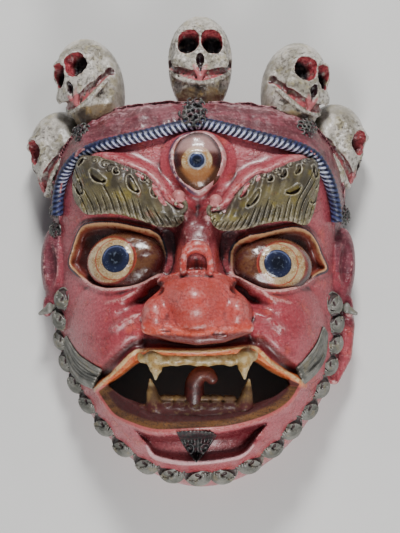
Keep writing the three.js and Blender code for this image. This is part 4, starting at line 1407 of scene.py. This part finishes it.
def red_lacquer():
    paint = Paint("red_lacquer", roughness=0.34, coat_weight=0.35, coat_roughness=0.2)
    cloud, patch = paint.noise(70, 1), paint.noise(22, 2, 4.0)
    fine, dust = paint.noise(4.5, 3, 4.0), paint.noise(1.3, 4)
    streak = paint.noise(26, 5, 4.0, 0.6, (1, 5, 1))
    grain = paint.noise(2.4, 9, 5.0, 0.7)
    sunk, wide = paint.marked("sunk"), paint.marked("sunk_wide")
    lacquer = paint.coats(
        (160, 60, 68),
        ((178, 84, 92), paint.step(cloud, 0.38, 0.62)),
        ((194, 82, 60), paint.step(patch, 0.54, 0.7) * 0.5),
        ((108, 28, 38), paint.step(streak, 0.54, 0.74) * 0.5),
    )
    nose = paint.step(paint.marked("nose"), 3.0, 0.2)
    flesh = paint.over((186, 66, 52), (196, 84, 76), paint.step(patch, 0.4, 0.6))
    flesh = paint.over(flesh, (208, 82, 48), paint.step(paint.marked("height"), -62.0, -74.0) * 0.85)
    lacquer = paint.over(lacquer, flesh, nose * 0.9)
    # The band above the cord is darker and duller, and the far sides of the head are darker with a mauve
    # tint that is a painted reflection of a blue surround
    band = paint.step(paint.marked("past_cord"), 1.0, 3.0)
    brushed = paint.noise(14, 6, 4.0, 0.65, (0.35, 1.6, 1))
    capped = paint.over((84, 28, 40), (132, 62, 74), paint.step(brushed, 0.42, 0.64))
    capped = paint.over(capped, (196, 150, 156), paint.step(paint.marked("past_cord"), 21.0, 26.0)
                        * paint.step(fine + brushed * 0.5, 0.7, 0.86) * 0.7)
    lacquer = paint.over(lacquer, capped, band * 0.9)
    # Painted reflection: a darker mauve on the low far sides of the head
    side = paint.marked("far_side")
    lacquer = paint.over(lacquer, paint.over((84, 30, 44), (126, 54, 68), paint.step(patch, 0.4, 0.62)),
                         side * 0.85)
    fold = paint.marked("fold")
    fold_tone = paint.step(fold, 7.0, 1.5) * paint.step(fine, 0.3, 0.6) * (1 - band)
    lacquer = paint.over(lacquer, (208, 134, 134), fold_tone * 0.75)
    # Painted light and shade in the chin's bowl: dark under the lower lip, lighter toward its lower rim
    basin, height = paint.marked("basin"), paint.marked("height")
    bowl_light_and_shade = paint.over((92, 26, 34), (186, 104, 108), paint.step(height + fine * 6, -158.0, -176.0))
    in_bowl = paint.step(basin, 0.5, -1.5)
    lacquer = paint.coats(
        lacquer,
        (bowl_light_and_shade, in_bowl * 0.9),
        # Painted shade at the root of the nose between the brows, and in the inner corners of the eyes
        ((96, 26, 32), paint.marked("nose_root_shade") * 0.75),
        ((40, 12, 14), paint.marked("eye_corner_shade") * 0.85),
    )
    # Dirt with painted shade in the hollows, and pale wear on the crests
    wide_dirt_and_shade = paint.step(wide, 0.5, 3.2) * paint.step(patch, 0.28, 0.55)
    dirt_and_shade = (paint.step(sunk, 0.05, 0.4) * 0.8 + wide_dirt_and_shade * 0.6) * (1 - in_bowl * 0.8)
    lacquer = paint.over(lacquer, (54, 10, 18), dirt_and_shade)
    worn = paint.step(sunk, -0.12, -0.36) * paint.step(fine, 0.46, 0.6)
    lacquer = paint.over(lacquer, (226, 172, 166), worn * 0.7)
    rubbed = paint.step(wide, -1.0, -3.0) * paint.step(fine + patch * 0.5, 0.8, 0.92) * (1 - nose * 0.8)
    lacquer = paint.coats(
        lacquer,
        ((205, 128, 126), rubbed * 0.5),
        ((34, 14, 18), paint.step(paint.marked("whisker_gap") + fine, 2.4, 1.2) * 0.9),
    )
    crack = paint.crackle(9, 7, (1, 1.2, 1))
    lines = paint.step(crack, 0.035, 0.008) * paint.step(patch, 0.46, 0.6)
    lacquer = paint.over(lacquer, (88, 24, 30), lines * 0.55)
    # Painted highlight along the lower rim of the chin's bowl
    painted_rim_highlight = paint.within(basin + fine, -1.0, 2.6, 0.6) * paint.step(height, -166.0, -172.0)
    lacquer = paint.coats(
        lacquer,
        ((226, 178, 180), painted_rim_highlight * 0.75),
        # Painted shade in the groove under each eye
        ((52, 12, 20), paint.step(paint.marked("eye_groove_shade") + fine * 2, 6.0, 2.5) * 0.85),
    )
    specks = paint.step(dust, 0.64, 0.72) * paint.step(fine, 0.46, 0.6)
    lacquer = paint.coats(
        lacquer,
        ((48, 16, 20), specks * 0.65),
        ((92, 24, 34), paint.step(grain, 0.48, 0.68) * 0.45),
        ((226, 150, 148), paint.step(grain, 0.45, 0.3) * 0.4),
    )
    lacquer = painted_lids(paint, painted_lips(paint, lacquer, fine, dust, streak), fine, dust)
    # The hollow behind is bare dark wood
    splinter = paint.noise(9, 8, 4.0, 0.6, (1, 0.12, 1), 0.4)
    wood = paint.over((58, 36, 24), (104, 72, 48), paint.step(splinter, 0.35, 0.68))
    wood = paint.over(wood, (34, 24, 18), paint.step(dust, 0.55, 0.7) * 0.5)
    bare = paint.step(paint.marked("hollow_side"), 2.4, 0.8)
    lacquer = paint.over(lacquer, wood, bare)
    wall_zone = paint.step(paint.marked("mouth"), 0.0, -1.6)
    rough = 0.26 + paint.step(fine, 0.35, 0.7) * 0.2 + (dirt_and_shade + band) * 0.1 + bare * 0.3 + wall_zone * 0.45
    heights = [fine * 0.9, grain * 0.5, dust * 0.16, streak * 0.6, lines * -0.25, brushed * band * 1.6,
               splinter * bare * 0.6]
    return paint.finish(lacquer, rough, heights, (1 - bare) * 0.35 * (1 - wall_zone))


def eye_enamel(name, pupil, ring_out, third=False):
    """A painted eyeball: pupil, cream ring with a thin red circle, and a browner side toward the nose that
    is partly painted shade, with painted shade near the lids.
    """
    paint = Paint(name, roughness=0.2, coat_weight=0.5, coat_roughness=0.12)
    away, outward, upward = paint.marked("from_pupil"), paint.marked("outward"), paint.marked("upward")
    fine, dust, cloud = paint.noise(3.2, 11, 4.0), paint.noise(1.0, 12), paint.noise(9, 13)
    cream = paint.coats(
        (190, 166, 124),
        ((160, 120, 74), paint.step(cloud, 0.42, 0.6)),
        ((222, 206, 176), paint.step(dust, 0.56, 0.66)),
        ((120, 84, 60), paint.step(fine, 0.56, 0.7) * 0.5),
    )
    # Brown sclera, kept dark as painted shade, and darker still near the lids as painted shade cast by them
    sclera = paint.coats(
        (78, 38, 32),
        ((104, 66, 42), paint.step(cloud, 0.4, 0.6)),
        ((130, 96, 66), paint.step(dust, 0.58, 0.68) * 0.5),
        ((60, 16, 22), paint.step(paint.marked("in_lids"), 12.0, 3.0) * 0.85),
    )
    # The brown reaches further on the side toward the nose, as painted shade there
    edge = away + fine * 1.6 - outward * (0.0 if third else 0.22)
    white = paint.over(cream, sclera, paint.step(edge, ring_out - 0.8, ring_out + 0.8))
    if third:
        white = paint.coats(
            white,
            # Painted shade: browner toward the bottom of the third eye
            ((150, 98, 56), paint.step(upward, -3.0, -9.0) * 0.85),
            ((222, 178, 172), paint.step(upward, 6.0, 13.0) * 0.5),
            ((150, 158, 170), paint.within(away, pupil - 0.4, pupil + 1.6, 0.5) * 0.8),
        )
    else:
        circle = paint.within(away + fine * 0.8, pupil + 6.2, pupil + 7.3, 0.3)
        white = paint.coats(
            white,
            ((166, 62, 44), circle * 0.8),
            ((130, 38, 36), paint.within(edge, ring_out - 0.6, ring_out + 1.6, 0.5) * 0.7),
        )
    dark = paint.coats(
        (30, 36, 62),
        ((14, 17, 30), paint.step(away, pupil * 0.75, pupil * 0.3)),
        ((104, 116, 134), paint.step(fine, 0.58, 0.7) * 0.6),
        ((96, 106, 144),
         paint.within(away, pupil - 2.2, pupil - 0.8, 0.5) * paint.step(upward, -2.0, 6.0) * 0.7),
    )
    white = paint.coats(
        white,
        (dark, paint.step(away + fine * 0.8, pupil + 0.9, pupil + 0.2)),
        # Painted shade close to the lids
        ((40, 16, 16), paint.step(paint.marked("in_lids"), 5.0, 1.0) * 0.8),
    )
    return paint.finish(white, 0.18 + paint.step(fine, 0.4, 0.7) * 0.2, [fine * 0.4, dust * 0.12])


def carved_gilt_brow():
    paint = Paint("worn_gilt_brow", roughness=0.42, coat_weight=0.15, coat_roughness=0.3)
    sunk, hollow, across = paint.marked("sunk"), paint.marked("hollow"), paint.marked("across")
    cloud, fine, dust = paint.noise(26, 14), paint.noise(4, 15, 4.0), paint.noise(1.2, 16)
    gilt = paint.coats(
        (72, 65, 50),
        ((104, 95, 66), paint.step(cloud, 0.42, 0.6)),
        ((128, 114, 52), paint.step(paint.noise(13, 17), 0.52, 0.66) * 0.7),
        ((134, 78, 50), paint.step(paint.noise(11, 18), 0.6, 0.72) * 0.5),
        ((74, 64, 56), paint.step(across, 0.55, 0.8) * 0.6),
        ((24, 18, 16), paint.step(sunk, 0.02, 0.22) * 0.92),
        ((206, 196, 170), paint.step(sunk, -0.05, -0.24) * paint.step(fine, 0.32, 0.56) * 0.85),
        ((186, 176, 150), paint.step(across, 0.16, 0.03) * paint.step(fine, 0.42, 0.6) * 0.6),
        ((58, 42, 38), paint.step(paint.marked("hollow_deep"), 0.3, 0.8) * 0.85),
        ((200, 190, 168), paint.within(hollow + fine, 1.0, 2.0, 0.4) * paint.step(dust, 0.44, 0.56) * 0.4),
        ((204, 126, 126), paint.step(paint.marked("knob") + fine * 2, 0.4, -1.2) * 0.85),
        ((28, 20, 18), paint.step(dust, 0.56, 0.68) * 0.6),
    )
    return paint.finish(gilt, 0.32 + paint.step(fine, 0.35, 0.7) * 0.22, [fine * 0.4, dust * 0.18])


def painted_cord():
    paint = Paint("navy_and_white_cord", roughness=0.42)
    sine, cosine, low = paint.marked("strand_sine"), paint.marked("strand_cosine"), paint.marked("low_side")
    fine, dust = paint.noise(3, 19), paint.noise(1.0, 20)
    navy = paint.over((18, 20, 52), (46, 52, 100), paint.step(fine, 0.44, 0.64))
    crest = paint.step(cosine + sine * 0.25 + fine * 0.6, 0.3, 0.8)
    white = paint.over((216, 220, 240), (112, 120, 168), paint.step(dust, 0.5, 0.62))
    lit = crest * paint.step(low + fine * 0.4, -0.15, 0.45)
    cord = paint.coats(
        navy,
        (white, lit * paint.marked("over_top")),
        ((86, 96, 130), crest * (1 - paint.marked("over_top")) * 0.4),
        ((10, 10, 24), paint.step(cosine, -0.4, -0.9) * 0.85),
    )
    return paint.finish(cord, None, [fine * 0.3, dust * 0.15])


def sooty_hair(name="sooty_carved_hair", low=(38, 38, 40), high=(84, 86, 80)):
    paint = Paint(name, roughness=0.42)
    sunk = paint.marked("sunk")
    fine, dust, cloud = paint.noise(3.4, 21), paint.noise(1.0, 22), paint.noise(12, 23)
    hair = paint.coats(
        low,
        (high, paint.step(cloud, 0.4, 0.62)),
        ((76, 32, 40), paint.step(fine, 0.5, 0.6) * 0.65),
        ((12, 11, 13), paint.step(fine, 0.44, 0.34) * 0.75),
        ((206, 204, 196), paint.step(sunk, -0.06, -0.28) * paint.step(fine, 0.36, 0.54) * 0.85),
        ((8, 8, 10), paint.step(sunk, 0.02, 0.2)),
    )
    return paint.finish(hair, None, [fine * 0.4, dust * 0.16])


def grey_beard():
    paint = Paint("grey_green_beard", roughness=0.42, coat_weight=0.1)
    sunk = paint.marked("sunk")
    fine, dust, cloud = paint.noise(3.4, 24, 4.0), paint.noise(1.0, 25), paint.noise(14, 26)
    hair = paint.coats(
        (88, 88, 80),
        ((122, 120, 112), paint.step(cloud, 0.4, 0.6)),
        ((132, 120, 90), paint.step(paint.noise(9, 27), 0.56, 0.68) * 0.5),
        ((196, 192, 182), paint.step(sunk, -0.06, -0.26) * paint.step(fine, 0.34, 0.55) * 0.8),
        ((66, 18, 28), paint.step(sunk, 0.06, 0.26) * 0.9),
        ((50, 12, 22), paint.step(paint.marked("pit") + fine * 0.6, 0.7, 0.1) * 0.95),
        ((18, 10, 14), paint.step(sunk, 0.2, 0.45)),
        ((36, 30, 30), paint.step(dust, 0.56, 0.68) * 0.5),
    )
    return paint.finish(hair, None, [fine * 0.4, dust * 0.16])


def old_bone():
    paint = Paint("silvered_bone_paint", roughness=0.36, coat_weight=0.2, coat_roughness=0.3)
    up, front, side = paint.marked("skull_up"), paint.marked("skull_front"), paint.marked("skull_side")
    sunk, socket, grin = paint.marked("sunk"), paint.marked("socket"), paint.marked("grin")
    fine, dust = paint.noise(3.2, 28, 4.0), paint.noise(1.0, 29)
    cloud, patch = paint.noise(20, 30), paint.noise(9, 31)
    bone = paint.coats(
        (146, 139, 124),
        ((196, 189, 178), paint.step(cloud, 0.42, 0.6)),
        ((158, 146, 100), paint.step(patch, 0.52, 0.66) * 0.5),
        # Patchy painted shade, darker toward the sides and back of each skull
        ((84, 76, 66), paint.step(front, 8.0, -18.0) * paint.step(patch, 0.34, 0.58) * 0.8),
    )
    carved_zone = paint.step(front, -6.0, 10.0) * paint.step(up, 34.0, 22.0)
    # Grime over the carved face, and dirt with painted shade in the hollows
    grime_and_shade = paint.step(fine, 0.5, 0.62) * carved_zone * 0.6 + paint.step(sunk, 0.03, 0.2) * 0.85
    bone = paint.coats(
        bone,
        ((56, 46, 42), grime_and_shade),
        ((228, 222, 212), paint.step(sunk, -0.05, -0.22) * paint.step(dust, 0.4, 0.54) * 0.8),
    )
    jaw = paint.over((118, 98, 68), (58, 40, 34), paint.step(side * side, 60.0, 10.0) * 0.85)
    jaw = paint.over(jaw, (150, 120, 66), paint.step(patch, 0.52, 0.66) * 0.7)
    bone = paint.over(bone, jaw, paint.step(up, -36.5, -40.0) * paint.step(front, -4.0, 8.0) * 0.9)
    red = paint.over((168, 74, 78), (120, 34, 44), paint.step(fine, 0.42, 0.62))
    groove = paint.over((62, 16, 24), (172, 84, 88), paint.step(side * side * 0.02 - up, 24.0, 30.0))
    groove = paint.over(groove, (26, 10, 14), paint.step(grin, -0.6, -2.8) * 0.7)
    bone = paint.over(bone, groove, paint.step(grin + fine * 1.2, 1.2, 0.4))
    # Inside the eye sockets: red paint where the roof catches the light, going black toward the back as
    # painted shade
    socket_paint_and_shade = paint.over(red, (12, 9, 16), paint.step(front + up * 0.25 + fine * 3, 28.5, 22.0))
    bone = paint.coats(
        bone,
        (socket_paint_and_shade, paint.step(socket, 0.7, 0.0)),
        ((186, 104, 106), paint.step(paint.marked("flap") + fine * 1.4, 1.7, 0.7) * 0.8),
        ((36, 12, 18), paint.step(paint.marked("nostril"), 0.6, 0.0)),
        ((44, 36, 34), paint.step(dust, 0.58, 0.68) * 0.6),
    )
    heights = [fine * 0.6 * (carved_zone + 0.35), dust * 0.2]
    return paint.finish(bone, 0.3 + paint.step(fine, 0.4, 0.7) * 0.26, heights)


def old_ivory():
    paint = Paint("painted_teeth", roughness=0.4, coat_weight=0.15, coat_roughness=0.25)
    fine, dust, patch = paint.noise(3.0, 32, 4.0), paint.noise(1.0, 33), paint.noise(7, 34)
    sunk, lower = paint.marked("sunk"), paint.marked("lower_jaw")
    ivory = paint.coats(
        (190, 168, 122),
        ((160, 128, 76), paint.step(patch, 0.42, 0.6)),
        ((150, 96, 30), paint.step(fine, 0.6, 0.7) * 0.8),
        ((216, 202, 168), paint.step(sunk, -0.05, -0.25) * 0.6),
        ((74, 50, 28), paint.step(sunk, 0.04, 0.24) * 0.85),
    )
    brown = paint.coats(
        (98, 70, 42),
        ((134, 104, 60), paint.step(patch, 0.45, 0.62)),
        ((32, 20, 14), paint.step(sunk, 0.03, 0.22) * 0.9),
        ((70, 14, 12), paint.marked("gum") * paint.step(fine + patch, 0.7, 1.0)),
    )
    teeth_colour = paint.over(ivory, brown, lower)
    teeth_colour = paint.over(teeth_colour, (40, 26, 18), paint.step(dust, 0.56, 0.68) * 0.6)
    return paint.finish(teeth_colour, 0.36 + lower * 0.34, [fine * 0.4, dust * 0.15])


def tongue_paint():
    paint = Paint("brown_red_tongue", roughness=0.45, coat_weight=0.15)
    fine, dust = paint.noise(4.0, 35, 4.0), paint.noise(1.2, 36)
    tip = paint.step(paint.marked("tongue_up"), -118.0, -104.0)
    flesh = paint.coats(
        (60, 22, 18),
        ((126, 66, 50), tip * 0.8),
        ((92, 32, 26), paint.step(fine, 0.42, 0.62) * 0.7),
        ((26, 10, 10), paint.step(dust, 0.54, 0.68) * 0.7),
    )
    return paint.finish(flesh, None, [fine * 0.4])


def wear(piece, *finishes):
    for finish in finishes:
        piece.data.materials.append(finish)


lacquer, bone_paint = red_lacquer(), old_bone()
brow_paint, beard_paint = carved_gilt_brow(), grey_beard()
big_eye, small_eye = eye_enamel("eye_enamel", 13.0, 22.0), eye_enamel("third_eye_enamel", 7.0, 15.0, True)
wear(mask, lacquer)
for eye, paint in zip(eyes, (big_eye, big_eye, small_eye)):
    wear(eye, paint)
for brow in brows:
    wear(brow, brow_paint)
for skull in skulls:
    wear(skull, bone_paint)
wear(teeth, old_ivory())
wear(tongue, tongue_paint())
wear(cord, painted_cord())
wear(tufts, sooty_hair())
wear(beard, beard_paint)
for strands in whiskers:
    wear(strands, beard_paint)
wear(small_beard, sooty_hair("black_small_beard", (26, 26, 28), (58, 58, 56)))


# Stage: the mask lies on a pale floor, and the camera looks down on it, a little from the chin's side
TARGET = Vector((*(SHIFT * MM),)) + Vector((1.9 * MM, 0, 90 * MM))
CAMERA_PITCH, CAMERA_REACH, LENS, FILM = math.radians(10), 1.5, 142.1, 36


def place_facing(made, place, heading):
    """Puts a camera or a lamp at a place, looking along a heading."""
    bpy.context.scene.collection.objects.link(made)
    made.location = place
    made.rotation_mode = "QUATERNION"
    made.rotation_quaternion = heading.to_track_quat("-Z", "Y")


def add_camera():
    data = bpy.data.cameras.new("camera")
    data.sensor_fit = "HORIZONTAL"
    data.sensor_width = FILM
    data.lens = LENS
    camera = bpy.data.objects.new("camera", data)
    back = Vector((0, -math.sin(CAMERA_PITCH), math.cos(CAMERA_PITCH)))
    place_facing(camera, TARGET + back * CAMERA_REACH, -back)
    bpy.context.scene.camera = camera


def add_floor():
    work = bmesh.new()
    bmesh.ops.create_grid(work, x_segments=2, y_segments=2, size=3)
    mesh = bpy.data.meshes.new("floor")
    work.to_mesh(mesh)
    work.free()
    floor = bpy.data.objects.new("floor", mesh)
    bpy.context.scene.collection.objects.link(floor)
    paper = Paint("pale_paper", roughness=0.8)
    wear(floor, paper.finish(paper.over((222, 221, 218), (216, 215, 212), paper.noise(60, 40))))


def add_lamp(name, place, size, power):
    data = bpy.data.lights.new(name, "AREA")
    data.size = size
    data.energy = power
    place_facing(bpy.data.objects.new(name, data), place, TARGET - Vector(place))


def add_room_light(colour, strength):
    world = bpy.data.worlds.new("world")
    bpy.context.scene.world = world
    world.use_nodes = True
    background = world.node_tree.nodes["Background"]
    background.inputs["Color"].default_value = colour
    background.inputs["Strength"].default_value = strength


add_camera()
add_floor()
add_lamp("key", (0.0, 1.4, 1.35), 0.4, 40)
add_lamp("fill", (0.2, -1.25, 1.0), 0.6, 22)
add_room_light((0.85, 0.9, 1, 1), 0.16)
